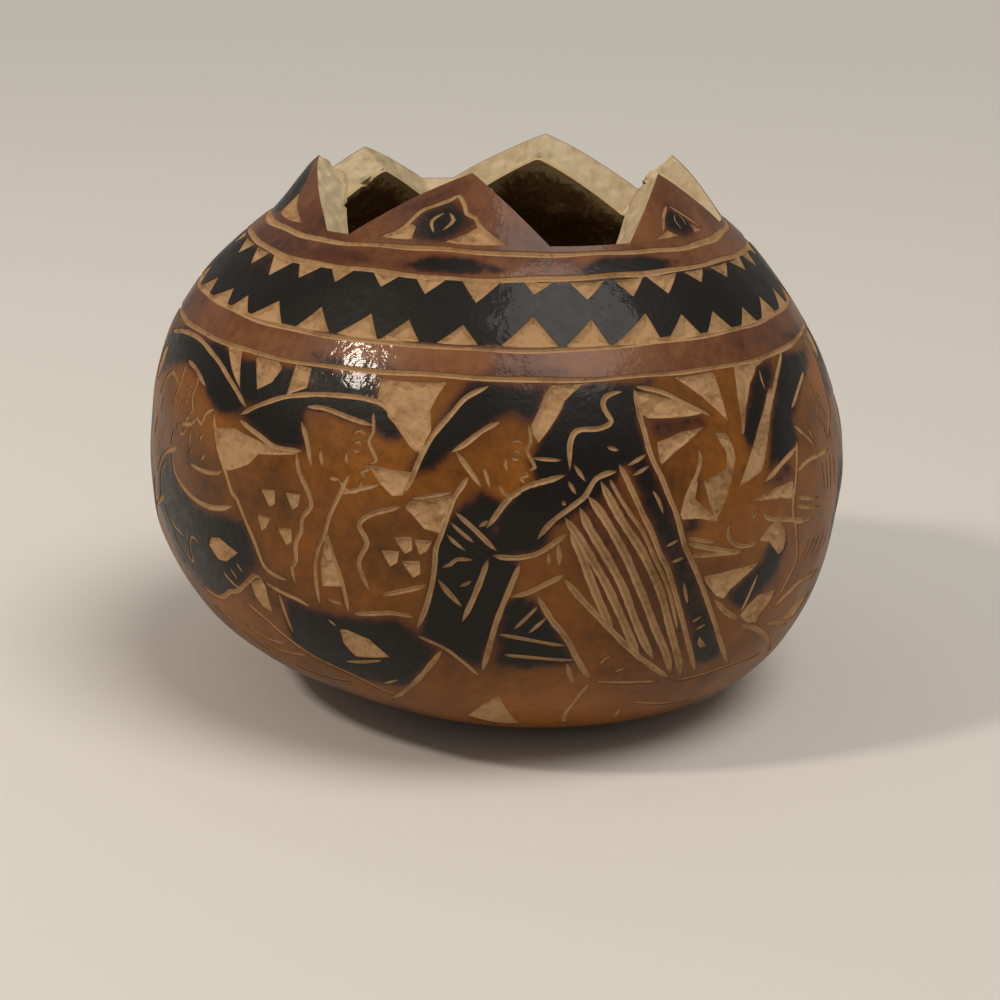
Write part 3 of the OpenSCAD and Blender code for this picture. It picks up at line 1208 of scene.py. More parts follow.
class Frieze:
    """The pictures round the body: people in broad hats and shawls, a harp and a leaf plant."""

    @staticmethod
    def hooded_figure() -> Motif:
        """A person in a hood with a toothed collar, at the far left of the front."""
        m = Motif()
        m.cut(0.66, (-79, 49.7, -70, 51, -61.5, 51.3, -53, 50.1, -46.5, 48, -42, 45.9), (-62.5, 48.6,
            -58, 48.1, -53, 46.7), (-71.5, 42.4, -67.6, 46.1, -62, 45.5), (-50, 38.8, -51.5, 37.8),
            (-59, 38, -65, 36, -70, 32.5), (-55, 36.8, -51, 36.6, -47.5, 36.9, -45.5, 37.6))
        m.cut(0.56, (-62.5, 48.6, -62, 45.7, -63, 42.8), (-59, 41.1, -55, 41.8, -53.5, 42.8, -52, 42.3,
            -51, 43.9, -49, 44.7), (-55, 41.5, -54.8, 38.3), (-68, 43, -69, 40.5), (-71, 40, -73, 36.5),
            (-61, 40, -62.5, 37.5), (-51, 41.4, -52, 40.2), (-53.5, 39.2, -55, 37.9))
        m.chip((-80, 47, -76, 48.5, -74, 46, -76, 43.5, -79, 44), (-51.7, 51.9, -47.6, 51.9,
            -44.5, 47.7, -48, 49.5), (-44, 51.8, -38.8, 51.8, -37.5, 51.1, -38.6, 49.4, -41.1, 48.2,
            -42.5, 50), (-35.2, 51.9, -31.9, 51.8, -31.6, 49.6, -35.1, 48.4))
        m.burn(1.0, (-56, 51.8, -31, 51.9, -31, 49, -35, 48.2, -42, 46, -47, 48.6))
        m.burn(1.0, (-83, 47, -79, 50.2, -70, 51.8, -53, 51.8, -47, 49, -42, 45.9, -44, 44.8, -49, 45,
            -53, 46.7, -58, 48.1, -62.5, 48.4, -69, 47, -76, 44))
        Profile(-59.5, 44.2, 7.8).carve(m)
        return m

    @staticmethod
    def shawled_figure() -> Motif:
        """A person in a broad hat, with a long speckled shawl that is cut to a tall point."""
        m = Motif()
        m.cut(0.69, (-43.3, 44.9, -39.7, 46.6, -35.1, 48.2, -29.5, 49.1, -23.9, 49.4, -19.4, 49.2,
            -17, 48.5, -14, 46.1, -11.5, 43.9), (-43.3, 44.5, -38.4, 43.2, -35, 42.3, -29.8, 42.5),
            (-31.3, 46, -30, 44.5, -29, 43, -27.8, 40.6), (-49.2, 44.4, -47.8, 42.1, -46.3, 39.3,
            -44.8, 37.5, -43, 35.2, -41.9, 34.7, -40, 32.4, -38, 29.7, -36.4, 26.9, -34.2, 26.1,
            -31.9, 25.9), (-31, 42.2, -30, 40, -28.3, 37.9, -27.6, 36.1, -29, 34.5, -29.2, 32.7,
            -30.1, 31.3, -30.2, 28.8, -31, 27.8, -30.5, 25.3))
        m.cut(0.61, (-31, 47.6, -27.4, 47.7, -23.2, 47.1, -18.8, 46.5), (-27, 43.2, -26, 41),
            (-21.5, 41, -23, 38, -24.4, 35.4, -25.2, 33, -26.4, 30.7, -26.9, 28.1, -26.5, 23.3),
            (-24.8, 33.3, -24.2, 31.3, -23, 28.7, -22.1, 26, -21.6, 23.1), (-25.6, 24.6, -22.2, 24.3),
            (-25, 40, -23, 39.9), (-23, 38.2, -19.7, 39.2, -16.5, 40.1))
        m.chip((-48.1, 42.6, -43.7, 43.3, -38.3, 42.6, -35.5, 42.1, -29.8, 42.2, -37.9, 41, -39.7, 39.4,
            -44.2, 37.8, -45.9, 38.3, -47.3, 40), (-25, 33.2, -24.2, 31, -23.2, 28.5, -22.6, 26.6,
            -25.8, 26.2, -26, 29))
        m.speck(2.2, (-35.5, 36, -30.9, 36.3, -36.2, 32.7, -32.3, 31.7))
        m.burn(1.0, (-43.3, 45.2, -39.7, 46.9, -35, 48.4, -31, 49, -31, 51.8, -20, 51.8, -19, 49.2,
            -16.8, 48.2, -13.8, 45.8, -16, 45.3, -18.8, 46.4, -23.2, 47, -27.4, 47.6, -31, 47.2,
            -30.4, 44.6, -29.4, 42.8, -35, 42.4, -39, 43.3))
        Profile(-22.6, 43.6, 8.9).carve(m)
        return m

    @staticmethod
    def second_shawl() -> Motif:
        """A shorter shawl with a wavy edge, up to the neck of the next person."""
        m = Motif()
        m.cut(0.66, (-13.1, 37.8, -17, 36.6, -18.9, 35.7, -19.7, 34.7, -18.4, 32.7, -19.7, 30,
            -18, 26.4), (-3.9, 41.8, -4.9, 40.5, -5.9, 39.1, -6.9, 36.6, -7.6, 34.6, -8.3, 32.9,
            -8.4, 31.3, -8.7, 28.7, -9.6, 25.5, -10.4, 23.7, -11.2, 22.1), (-16.6, 26.2, -13.6, 27,
            -9.3, 28.3), (-21.2, 23.2, -17.8, 23.7, -14.5, 24.1, -11.1, 23.8))
        m.cut(0.53, (-12.3, 38.7, -5.9, 39.9))
        m.chip((-12.3, 38.4, -6.2, 39.5, -6.9, 36.8, -7.8, 34.8, -10, 35.2, -11.5, 36.6, -12.9, 37.6),
            (-18.9, 42.2, -15.3, 41.9, -12.2, 41.8, -13.2, 39, -14.8, 38.8, -16.9, 40.2), (-19.2, 51.8,
            -8.2, 51.8, -9.5, 50.2, -10.3, 48.7, -9.8, 46.5, -11.3, 43.9, -14, 46.1, -15, 46.6,
            -16.8, 47.6, -17.3, 48.5, -19, 48.9))
        m.speck(2.2, (-13.2, 33, -15, 31.2, -10.2, 33, -12, 30.1))
        return m

    @staticmethod
    def feathered_figure() -> Motif:
        """A person in a deep hat who leans towards the harp, with a feather behind."""
        m = Motif()
        m.cut(0.69, (-1.4, 51.6, -4.9, 50.3, -7, 48.5, -8.9, 46.7, -10, 45.3, -11.1, 43.4, -12, 41.3,
            -13.1, 39), (0.5, 47.9, -2.2, 46.8, -4.8, 45.2, -6.8, 44.2), (-6.1, 44.5, -4, 42.5,
            -2, 40.4))
        m.cut(0.53, (-2, 42.9, -1.4, 41.7, -0.8, 40.2), (4.8, 43.9, 9.6, 43.6), (-6.4, 36.3, -4.5, 34.9,
            -2.8, 33.8), (-6.9, 34.8, -5.4, 33.6, -3.9, 32.7))
        m.cut(0.64, (-5.8, 37.6, -3, 35.6, 0.4, 32.8))
        m.chip((8.3, 51.8, 14, 51.9, 12.2, 51.1, 10.3, 50, 9.9, 49.3, 7.8, 47.1, 6, 45.5, 5, 46.7,
            4.9, 47.4, 6, 48.9, 7.1, 50.6))
        m.burn(1.0, (-5, 51.6, -1, 51.9, 8, 51.8, 6.6, 49.8, 5, 47.6, 2, 48.6, -0.5, 47.8, -4.5, 45.4,
            -7, 44.2, -9, 42.4, -12.5, 41.4, -11, 43.8, -9.8, 46, -7.6, 48.6))
        Profile(1.2, 44.0, 7.8, tilt=14).carve(m)
        return m

    @staticmethod
    def harpist() -> Motif:
        """A dark cloaked player with arms that reach over the strings."""
        m = Motif()
        m.cut(0.69, (20.4, 50.8, 18.7, 50.7, 17.1, 50.3, 16.5, 49.5, 17, 48.5, 17.6, 47.7, 16.7, 47.2,
            15.1, 46.9, 12.5, 46.9, 11.3, 46.4, 10.7, 45.2, 10.6, 43.8, 10.6, 42.3), (10.1, 42, 8, 41.5,
            6, 41.1, 4.1, 40.6, 2.5, 39.8, 1.1, 38.6, -0.1, 37.1, -1.3, 35.6), (17.9, 42.1, 16.1, 41.9,
            14.5, 41.4, 13.6, 40.5, 12.8, 39.5, 11.7, 38.8, 10.2, 37.9, 8.8, 37.1, 7.7, 36.3, 6.7, 35.3,
            5.9, 34.3), (-0.5, 32.4, 1.6, 32.1, 4.1, 32.2, 6.4, 32.8, 9.2, 34.4, 10.5, 35), (9, 34,
            9.3, 30.8))
        m.cut(0.56, (11.1, 43.2, 13, 41), (10.2, 41.4, 11.5, 39.6), (-2.4, 35.8, -0.9, 36.7),
            (16.3, 44.9, 18.4, 44.4), (9.4, 39, 9.9, 38.4), (7.6, 32.9, 7.8, 31))
        m.burn(1.0, (15, 51.8, 26, 51.6, 23, 50.4, 22.2, 47, 22.6, 42, 19, 43, 13, 38, 8, 36, 7, 33.2,
            1, 32.4, -0.5, 33, 0.5, 37.5, 4, 40.4, 10.4, 42, 10.4, 45, 11, 46.6, 14.6, 47.2, 17, 47.8,
            16, 49.6, 13, 50.6))
        m.burn(0.9, (9.5, 51.8, 16.6, 51.8, 16.4, 49.8, 17.4, 48, 14.8, 46.6, 11, 46.2, 10.8, 44,
            10.4, 41.8, 6, 41, 4.8, 43.4, 6, 45.4, 8.6, 48, 10.2, 50))
        return m

    @staticmethod
    def harp() -> Motif:
        """The harp: its strings, its pillar with cross strokes and its sound box."""
        m = Motif()
        m.cut(1.08, (10.5, 35.2, 12, 33, 14.9, 27.2, 18.4, 21.4), (9.7, 37.1, 11.8, 34.6, 14, 31.6,
            16.5, 28.1, 19.1, 23.9, 21.2, 20.6, 23.6, 17.5), (11.9, 38.2, 13.5, 35.4, 16.2, 31.8,
            19, 27.7, 21, 24, 23.4, 20.2, 26.4, 16.6), (13.1, 39.5, 14.8, 37.7, 16.7, 35.2, 19.1, 31.8,
            20.2, 29.9, 22.7, 25.7, 25, 21.8, 28.1, 17.6, 30.6, 13.9), (15.1, 41.2, 16.7, 38.6,
            18.6, 35.8, 21.8, 31.9, 25.1, 26.7, 27.6, 21.7, 31.1, 16, 33, 13.2))
        m.cut(0.77, (10, 29.4, 12.6, 26.7, 15.7, 23.9, 18.9, 21.1, 23, 17.8, 26.1, 15.9, 30.7, 13.2),
            (18.1, 43, 19.2, 41.2, 20.4, 38.9, 21.7, 36.5, 23, 34.5, 24.8, 31.2, 26, 29.6, 28.8, 24.1,
            31.8, 18.8, 36.1, 13.2), (22.3, 51.1, 22.4, 48.4, 22.8, 46.3, 23.2, 44.1, 24, 42.3,
            24.8, 41, 25.8, 38.7, 26.8, 36.8, 27.6, 34.8, 28.6, 32.3, 30.8, 29, 33.6, 24.8, 37, 19.9,
            40, 16.4, 43.9, 12.9), (6.2, 27.3, 8.5, 24, 10.9, 21.4, 13.2, 18, 16, 14.6))
        m.cut(0.56, (16.5, 41.4, 17.9, 39.2, 19.4, 37.2, 21.5, 34.7, 23.6, 31.4, 26.6, 26.6,
            29.4, 20.6), (23.1, 39.7, 24.1, 38.3, 24.9, 36.4), (19.2, 42.6, 22.8, 43.8), (20, 41.4,
            23.1, 42.5), (25.3, 32.3, 27.8, 33.1), (26.3, 30.2, 29, 30.7), (28.9, 27.6, 29.7, 25.7,
            30.4, 24.2), (31.4, 21.5, 33.7, 22.2), (32.5, 20.3, 34.8, 20.9), (6.6, 26, 3, 22.6),
            (7.9, 24.4, 5.1, 22), (0.6, 22.1, 5, 21.3, 11.3, 20.2), (1.5, 19.2, 6.7, 18.6, 13, 18),
            (18.8, 18, 17.6, 17.8, 16.9, 16.6), (19.5, 15.6, 21.5, 16.2))
        m.cut(0.66, (16.5, 14.3, 21.8, 13.8, 28.6, 13.1), (11.5, 17.7, 12.4, 15.6, 13.4, 13.8),
            (16, 14.2, 14.8, 12, 13.7, 8.6, 14.8, 5.9))
        m.chip((33.7, 19.3, 34.8, 18.4, 36.2, 17.2, 34.6, 17.4, 33.8, 18.2))
        m.burn(0.85, (19.5, 43, 23, 44, 24, 42, 26.5, 37, 28.4, 32.5, 31, 28.6, 34, 24, 37, 19.6,
            41, 15, 35, 14.4, 31.6, 19.4, 28.8, 24.6, 25.6, 30.4, 22.4, 36))
        m.burn(0.42, (10, 37.6, 14, 41, 19, 42, 22.6, 35, 26, 29.6, 31, 19, 33.6, 14.4, 30, 14.4,
            22, 19.6, 17, 24, 12, 29, 9.6, 33))
        m.burn(0.8, (0.6, 26, 3.6, 27.4, 6, 26.8, 10.6, 21.4, 13, 17.6, 0, 17.2))
        return m

    @staticmethod
    def leaf_fan() -> Motif:
        """A plant whose leaves spread like a fan above and below one stem."""
        m = Motif()
        m.cut(0.66, (22.3, 51.3, 26.9, 50.4, 31, 48.8, 35.6, 47), (31.6, 43.9, 31.8, 42.5, 30.9, 40.9,
            29.2, 38.5, 27.9, 36.4), (65.5, 48.8, 60.5, 47.4, 55, 45.5), (54.5, 42, 53, 39.5, 51.4, 36,
            51, 33.5, 52.5, 30.6, 54.6, 26.5, 54.2, 24.8, 53, 23.3, 51.2, 20.7), (29, 32.5, 33.7, 31.2,
            40, 29.9), (43, 34.6, 45.2, 33.4, 49.8, 32.5, 58.4, 31), (44.3, 26.5, 43, 23.8, 41.5, 21),
            (36.5, 34.2, 36.4, 32.6, 38, 31.2, 40.3, 30.6, 43.3, 30.7))
        m.cut(0.74, (60, 52, 55.5, 50.2, 52.1, 48.4, 50, 47), (54, 41.1, 49.1, 40, 43.5, 38.2),
            (35.3, 24.2, 38.6, 21.8, 41.8, 20.2), (42.8, 19.2, 47.6, 17.6, 53, 15, 59, 11.5), (50, 17.9,
            54.5, 16.9, 59.5, 15.5))
        m.cut(1.2, (50.6, 20, 54.9, 21.3, 59, 22.2, 68, 21.5))
        m.cut(0.59, (49.9, 51, 49.3, 49.6, 49.3, 48.2), (29.4, 30.8, 35, 30.3, 40, 29.9), (28.9, 33.2,
            34.5, 31.9), (51.8, 35.1, 59.3, 33.6), (51.6, 34, 59.7, 32.3), (51.4, 31.8, 55.8, 31.2),
            (31.5, 12.7, 37.3, 12.5, 43.6, 12.8, 54, 12.5), (25.6, 9.6, 33.8, 8.3, 41, 7.6), (24, 8.7,
            25, 6))
        m.chip((22.4, 50.7, 24.8, 50.4, 29.9, 49.2, 34, 47.8, 33.2, 47.4, 23.6, 47.7, 22.8, 48.2),
            (24.6, 45, 29.1, 45.8, 33.7, 46.1, 30.9, 45, 27.4, 43.6, 25, 42.4, 24.7, 43), (29.9, 40.4,
            31, 40, 30.3, 37.9, 33.5, 35.6, 35, 34.5, 31, 35.4, 28, 35.6, 27.6, 36.3, 28.4, 38.3),
            (30, 51.8, 38.5, 51.8, 38.4, 46, 36.8, 47.4, 34.2, 49.4, 32, 50.7), (43.4, 51.8, 53.5, 51.8,
            49.3, 51.2, 45.9, 49.6, 43.2, 47.2, 41.3, 44.5, 40.6, 44.3, 41.2, 46, 41.8, 48.5,
            42.8, 50.5), (52.1, 48.4, 48.5, 45.7, 46.8, 43.6, 44.6, 40.8, 43.6, 39.7, 42.2, 39.3,
            38.3, 38.3, 39.8, 40.1, 41.9, 42.3, 45, 45, 49, 47.9, 50.5, 48.6), (35.3, 45.2, 37.5, 44.9,
            38.4, 43.2, 38.5, 41.8, 37.2, 39.4, 35.4, 36.6, 34, 34.7, 32.7, 37.2, 31.9, 39.9,
            36.3, 40.9, 36.8, 42.7, 35.9, 43.9), (40.2, 36.4, 46.3, 37.2, 51.3, 37.4, 50.8, 35,
            48, 35.6, 44.6, 36), (40.6, 35, 42.5, 34.8, 41.3, 33.9), (43, 30.9, 45, 32.4, 46.9, 33.1,
            49.3, 31.5, 50, 30, 49.8, 28.4, 48.5, 28, 45.6, 30.2), (32.5, 27.7, 38, 27.8, 44.2, 27.9,
            40.4, 25.9, 38.6, 25.1, 37.4, 23.9, 35.6, 24.6, 33.2, 26.8), (41.6, 20.9, 42.8, 22,
            45.1, 23.1, 50.2, 22.9, 49.3, 21.3, 47.4, 19.9, 47, 18.6, 44, 19.4), (55.5, 17.1, 58, 18.2,
            61, 18.9, 67, 18.6, 63, 15.7))
        m.burn(1.0, (58, 51.8, 72, 50.5, 67, 49, 62, 48, 58.5, 46.4, 54, 44.2, 54.7, 42, 50, 40.5,
            45.5, 39.8, 47.5, 43.6, 49.5, 46, 53, 48.6, 56, 50.3), (49.3, 51.2, 54, 51.6, 53, 49.6,
            49, 48, 45, 45, 41.9, 42.5, 41.4, 44.4, 43.2, 47, 46, 49.4), (37.4, 24.5, 44.5, 27.7,
            46, 30, 50, 29.4, 48.6, 25, 45, 23, 41, 22))
        m.burn(0.85, (23.6, 47.6, 33, 47.3, 33.7, 46.2, 29, 45.9, 24.8, 45.2), (28.4, 36, 31, 40.2,
            30, 36.6, 31, 34.4, 29, 34))
        m.burn(0.7, (29, 33.4, 30, 35.2, 28, 35.4, 27.4, 34), (44, 38.2, 50, 40, 51.4, 38, 47, 37.4))
        return m

    @staticmethod
    def reaching_arm() -> Motif:
        """An arm and a hand that hold a cup, over the cloak of the figure at the far left."""
        m = Motif()
        m.cut(0.79, (-62, 36.7, -60.3, 34.5, -57, 33.1, -52, 32.3, -47, 32.5, -42.7, 33.6))
        m.cut(0.69, (-56, 19.8, -49.6, 19.7, -45.5, 21.5, -43.2, 22.2, -38.7, 25.2, -37.2, 24.9),
            (-37, 24.8, -33.6, 24, -30.7, 23.6, -28, 22.9), (-34.2, 24, -33.6, 21.3, -33, 17.8))
        m.cut(0.56, (-64, 35.2, -67.5, 32.5, -68, 28), (-66, 29, -63.5, 27, -57.5, 26), (-63, 26,
            -56.5, 23, -56, 25.5, -54.5, 27, -52, 26.3), (-46.3, 24.7, -45, 23.5, -42, 22.3),
            (-44.3, 25.4, -42.3, 23.6), (-42.7, 26.4, -41, 25), (-25.6, 21.8, -24, 20.9))
        m.cut(0.61, (-42.5, 20.9, -39, 19.3, -35, 17, -30.5, 14.9, -23, 13, -16, 10.5), (-24.5, 15.4,
            -17, 17), (-45, 16.8, -40.5, 15.5, -36, 15.8), (-42.5, 14, -37.5, 14, -32, 14.8),
            (-38, 11.8, -34, 11, -25, 11.6), (-18.5, 12.7, -14.9, 14.3), (-54, 17.4, -48, 15.6,
            -43, 12.8))
        m.chip((-48.3, 28.4, -46, 28.8, -41.8, 27.7, -44.7, 25.9, -46.8, 25.7, -49.2, 27.2),
            (-39.8, 24.1, -37.2, 25.2, -36.6, 24.2, -36.2, 20.4, -38.4, 21, -39.5, 22.4), (-23.6, 20.6,
            -22.3, 20.8, -18.8, 20, -15.7, 17.6, -21.8, 16.7, -23.5, 18.4))
        m.burn(1.0, (-68, 36, -62, 36, -58, 33, -52, 31.8, -46, 32, -40, 32.2, -37, 27.6, -38.6, 25.4,
            -43, 22.6, -49.6, 20.2, -56, 20.4, -64, 22, -70, 28), (-33, 24, -28, 22.8, -21, 22.7,
            -14, 23.5, -10.6, 21.4, -8, 19.6, -10.6, 16.4, -14, 13.4, -20, 13, -28, 14, -34, 17))
        return m

    @staticmethod
    def skirt() -> Motif:
        """The folds of a long skirt and a boat-shaped leaf, low on the front."""
        m = Motif()
        m.cut(0.72, (-8.1, 29.2, -6.5, 27.5, -4.4, 25.6), (-0.8, 32.1, -2.4, 27.9, -4.5, 23.5),
            (3.7, 31.6, 1.9, 27.3, 0.6, 24, -0.3, 20.8, -1.5, 16.4), (-7.4, 19.7, -10, 16.5,
            -13.7, 12.8, -18.3, 9.5), (2.1, 27, 4.8, 27.6, 7.6, 28.8, 10.4, 30))
        m.cut(0.53, (-7.6, 30.5, -6.2, 31, -5.2, 31.7, -2.7, 31.7), (-5, 28.2, -3, 29.1), (-11.3, 21.4,
            -7.2, 19.9, -4.2, 17.8, -1.8, 15.7))
        m.chip((1.3, 12.8, 5.9, 6.2, 3, 6, -4.6, 8, -1.5, 10.8))
        m.burn(1.0, (-8.6, 33.6, -6, 37.2, -2, 40, 1, 38.4, -0.8, 35.4, 0.6, 32.6, 3.4, 31.4, 1.6, 27,
            0, 22, -1.6, 17, -4.4, 18.4, -10.6, 21.6, -9.4, 26, -8.7, 30))
        return m

    @staticmethod
    def looking_figure() -> Motif:
        """A person behind the plant, with a fringed shawl, at the far right of the front."""
        m = Motif()
        m.cut(0.69, (77, 50, 75, 47, 73.5, 45, 72.5, 42.5, 69, 41, 67, 39.5), (52.6, 38.2, 57.8, 38.9,
            66.5, 38.7), (54.2, 43.7, 57, 42.3, 60.3, 40.1), (59, 43.1, 60.2, 40.6), (86, 45, 83, 41,
            82, 36, 84, 30), (70, 30, 76, 29, 82, 30))
        m.cut(0.44, (61.6, 38, 61.9, 34), (64, 38, 63.8, 33.5), (66.5, 38, 65.8, 33.2), (69, 37.5,
            68, 33.5), (58.4, 28.2, 55.7, 25.4), (60.5, 28, 57.5, 25), (62.5, 27.8, 60, 25), (65, 27.6,
            62.6, 24.6), (67.5, 27.4, 65.4, 24.4), (71, 35, 72, 30.6), (74, 35, 74.6, 30.2), (77, 35.4,
            77.4, 30.4))
        m.chip((78, 51.6, 84, 51.6, 82, 49, 78.6, 48))
        m.burn(1.0, (76, 51.6, 79, 50, 76, 46.6, 74, 44, 78, 44, 84, 46.4, 90, 49.6, 92, 51.7))
        Profile(68.6, 43.6, 7.4, -1.0).carve(m)
        return m

    def motifs(self) -> Iterable[Motif]:
        """Gives the front's carving, and the same kinds of figure round the other sides."""
        yield from (self.hooded_figure(), self.shawled_figure(), self.second_shawl(),
                    self.feathered_figure(), self.harpist(), self.harp(), self.leaf_fan(),
                    self.reaching_arm(), self.skirt(), self.looking_figure())
        # The photo doesn't show the other sides, so the same figures go on round them.
        again = ((self.shawled_figure, 133, 1), (self.second_shawl, 133, 1),
                 (self.feathered_figure, 133, 1), (self.skirt, 133, 1),
                 (self.reaching_arm, 140, 1), (self.shawled_figure, 138, -1),
                 (self.reaching_arm, 124, -1), (self.leaf_fan, 246, -1), (self.harp, 246, -1),
                 (self.harpist, 246, -1), (self.feathered_figure, 262, 1), (self.skirt, 258, 1),
                 (self.second_shawl, 257, -1), (self.skirt, 284, 1))
        for figure, turn, way in again:
            yield figure().moved(turn, way)


@dataclass
class Shell:
    """The carved shell: one woody wall and the islands of rind that lie on it.

    Attributes:
        carving: The carved sheet.
        wall: Distance from the skin to the wall's inside, in millimetres.
        frieze_top: Height of the frieze's upper edge.
        lower_band: Height of the lower band's upper edge.
        zigzag_top: Height of the zigzag band's upper edge.
        rim: Height at which the teeth start.
        border: Height of the frieze's lower edge.
        bare_edge: Width of bare wood between the sawn edge and the lining.
        lining: Thickness of the lining.
        panels: Each panel's name, the angle of its left edge and that edge's slant, in degrees.
        teeth: The names of the teeth, in turn.
    """

    carving: Carving
    wall: float = 4.7
    frieze_top: float = 52.3
    lower_band: float = 55.8
    zigzag_top: float = 62.5
    rim: float = 64.8
    border: float = 5.5
    bare_edge: float = 0.35
    lining: float = 0.5
    panels: tuple[tuple[str, float, float], ...] = (
        ("front", -9, 13), ("front_right", 35, -20), ("right", 74, 8), ("back_right", 118, -10),
        ("back", 165, 9), ("back_left", 212, -8), ("left", 268, 12), ("front_left", 324, -17))
    teeth: tuple[str, ...] = ("front", "front_right", "right", "back", "back_left", "left")

    def _regions(self) -> dict[str, np.ndarray]:
        """Returns which uncut triangles belong to each rind piece."""
        c = self.carving
        x, y, z = c.point[c.faces].mean(axis=1).T
        flat = c.flat[c.faces].mean(axis=1)
        foot = (flat**2).sum(axis=1) < c.chart.rho[0] ** 2
        height = np.where(foot, 1.0, c.chart.read(flat)[1])
        sanded = foot & (z < 1e-4)
        found = {"rind_base": ~c.cut & (height < self.border) & ~sanded}
        frieze = ~c.cut & (height >= self.border) & (height < self.frieze_top)
        right_of = []
        for _, place, slant in self.panels:
            at = math.radians(place)
            lean = (height - self.frieze_top / 2) * math.tan(math.radians(slant))
            right_of.append(x * math.cos(at) + y * math.sin(at) > lean)
        for i, (name, _, _) in enumerate(self.panels):
            found[f"rind_frieze_{name}"] = frieze & right_of[i] & ~right_of[(i + 1) % len(right_of)]
        for name, low, high in (("lower", self.frieze_top, self.lower_band),
                                ("zigzag", self.lower_band, self.zigzag_top),
                                ("upper", self.zigzag_top, self.rim)):
            found[f"rind_{name}_band"] = ~c.cut & (height >= low) & (height < high)
        turn = np.mod(np.degrees(np.arctan2(x, -y)), 360.0)
        lows = [np.mod(t.left, 360.0) for t in c.rim.teeth]
        for name, start, end in zip(self.teeth, lows, lows[1:] + lows[:1]):
            sector = np.mod(turn - start, 360.0) < np.mod(end - start, 360.0)
            found[f"rind_tooth_{name}"] = ~c.cut & (height >= self.rim) & sector
        return found

    def rinds(self, finishes: dict[RindFinish, bpy.types.Material]) -> None:
        """Builds every rind piece as thin closed islands.

        Args:
            finishes: The material of each finish.
        """
        c = self.carving
        for name, chosen in self._regions().items():
            piece = mesh_piece(f"{name}_skin", *pick(c.point, c.faces[chosen], {"burn": c.burn}))
            look = RindFinish.BROWN
            if "band" in name or "tooth" in name:
                look = RindFinish.BURNT if "zigzag" in name else RindFinish.VARNISHED
            piece.data.materials.append(finishes[look])
            finish(piece, name, crease=40, wall=c.RIND)

    def wood(self, cut: bpy.types.Material, sawn: bpy.types.Material) -> None:
        """Builds the woody wall: the carved outside, the sawn edges and the inside.

        Args:
            cut: The finish of the burin's cuts.
            sawn: The finish of the sawn edges and the inside.
        """
        c = self.carving
        foot = (c.point[:, 2] < 1e-4) & (c.depth <= 0)
        sunk = np.where(foot, 0.0, np.maximum(c.depth, c.RIND))
        outer, outer_faces, marks = pick(c.point - c.normal * sunk[:, None], c.faces,
                                         {"depth": c.depth, "flat": c.flat})
        loop = self._edge_loop(outer_faces)
        self.edge = marks["flat"][loop]
        inner, inner_faces, inner_loop = self._inside()
        edge, out = c.chart.lift(self.edge)
        up = unit(np.cross(out, np.roll(edge, -1, axis=0) - np.roll(edge, 1, axis=0)))
        up *= np.sign(up[:, 2:3])
        steps = 9
        rows, levels, count = [outer], [np.array(loop)], len(outer)
        for step in range(1, steps):
            row = outer[loop] + (inner[inner_loop] - outer[loop]) * (step / steps)
            hack = 0.17 * ripple(row, 2.6, 31) + 0.11 * ripple(row, 1.1, 32)
            rows.append(row + up * hack[:, None])
            levels.append(count + np.arange(len(loop)))
            count += len(loop)
        levels.append(count + np.array(inner_loop))
        walls = [np.stack([a, np.roll(a, -1), np.roll(b, -1), b], axis=1)
                 for a, b in zip(levels, levels[1:])]
        faces = outer_faces.tolist() + np.vstack(walls).tolist() + (inner_faces + count).tolist()
        deep = np.zeros(count + len(inner))
        deep[:len(outer)] = marks["depth"]
        piece = mesh_piece("carved_wall", np.vstack([*rows, inner]), faces, {"depth": deep})
        piece.data.materials.append(cut)
        piece.data.materials.append(sawn)
        kinds = np.arange(len(faces)) >= len(outer_faces)
        piece.data.polygons.foreach_set("material_index", kinds.astype(int))
        alone(piece)
        bpy.ops.object.mode_set(mode="EDIT")
        bpy.ops.mesh.select_all(action="SELECT")
        bpy.ops.mesh.normals_make_consistent(inside=False)
        bpy.ops.object.mode_set(mode="OBJECT")
        finish(piece, "woody_wall", crease=28)

    def _edge_loop(self, faces: np.ndarray) -> list[int]:
        """Follows the sheet's open edge.

        Args:
            faces: The sheet's triangles.

        Returns:
            The edge's points, in order.
        """
        sides = np.vstack([faces[:, [0, 1]], faces[:, [1, 2]], faces[:, [2, 0]]])
        _, first, times = np.unique(np.sort(sides, axis=1), axis=0, return_index=True,
                                    return_counts=True)
        after = {int(a): int(b) for a, b in sides[first[times == 1]]}
        loop = [next(iter(after))]
        while after[loop[-1]] != loop[0]:
            loop.append(after[loop[-1]])
        return loop

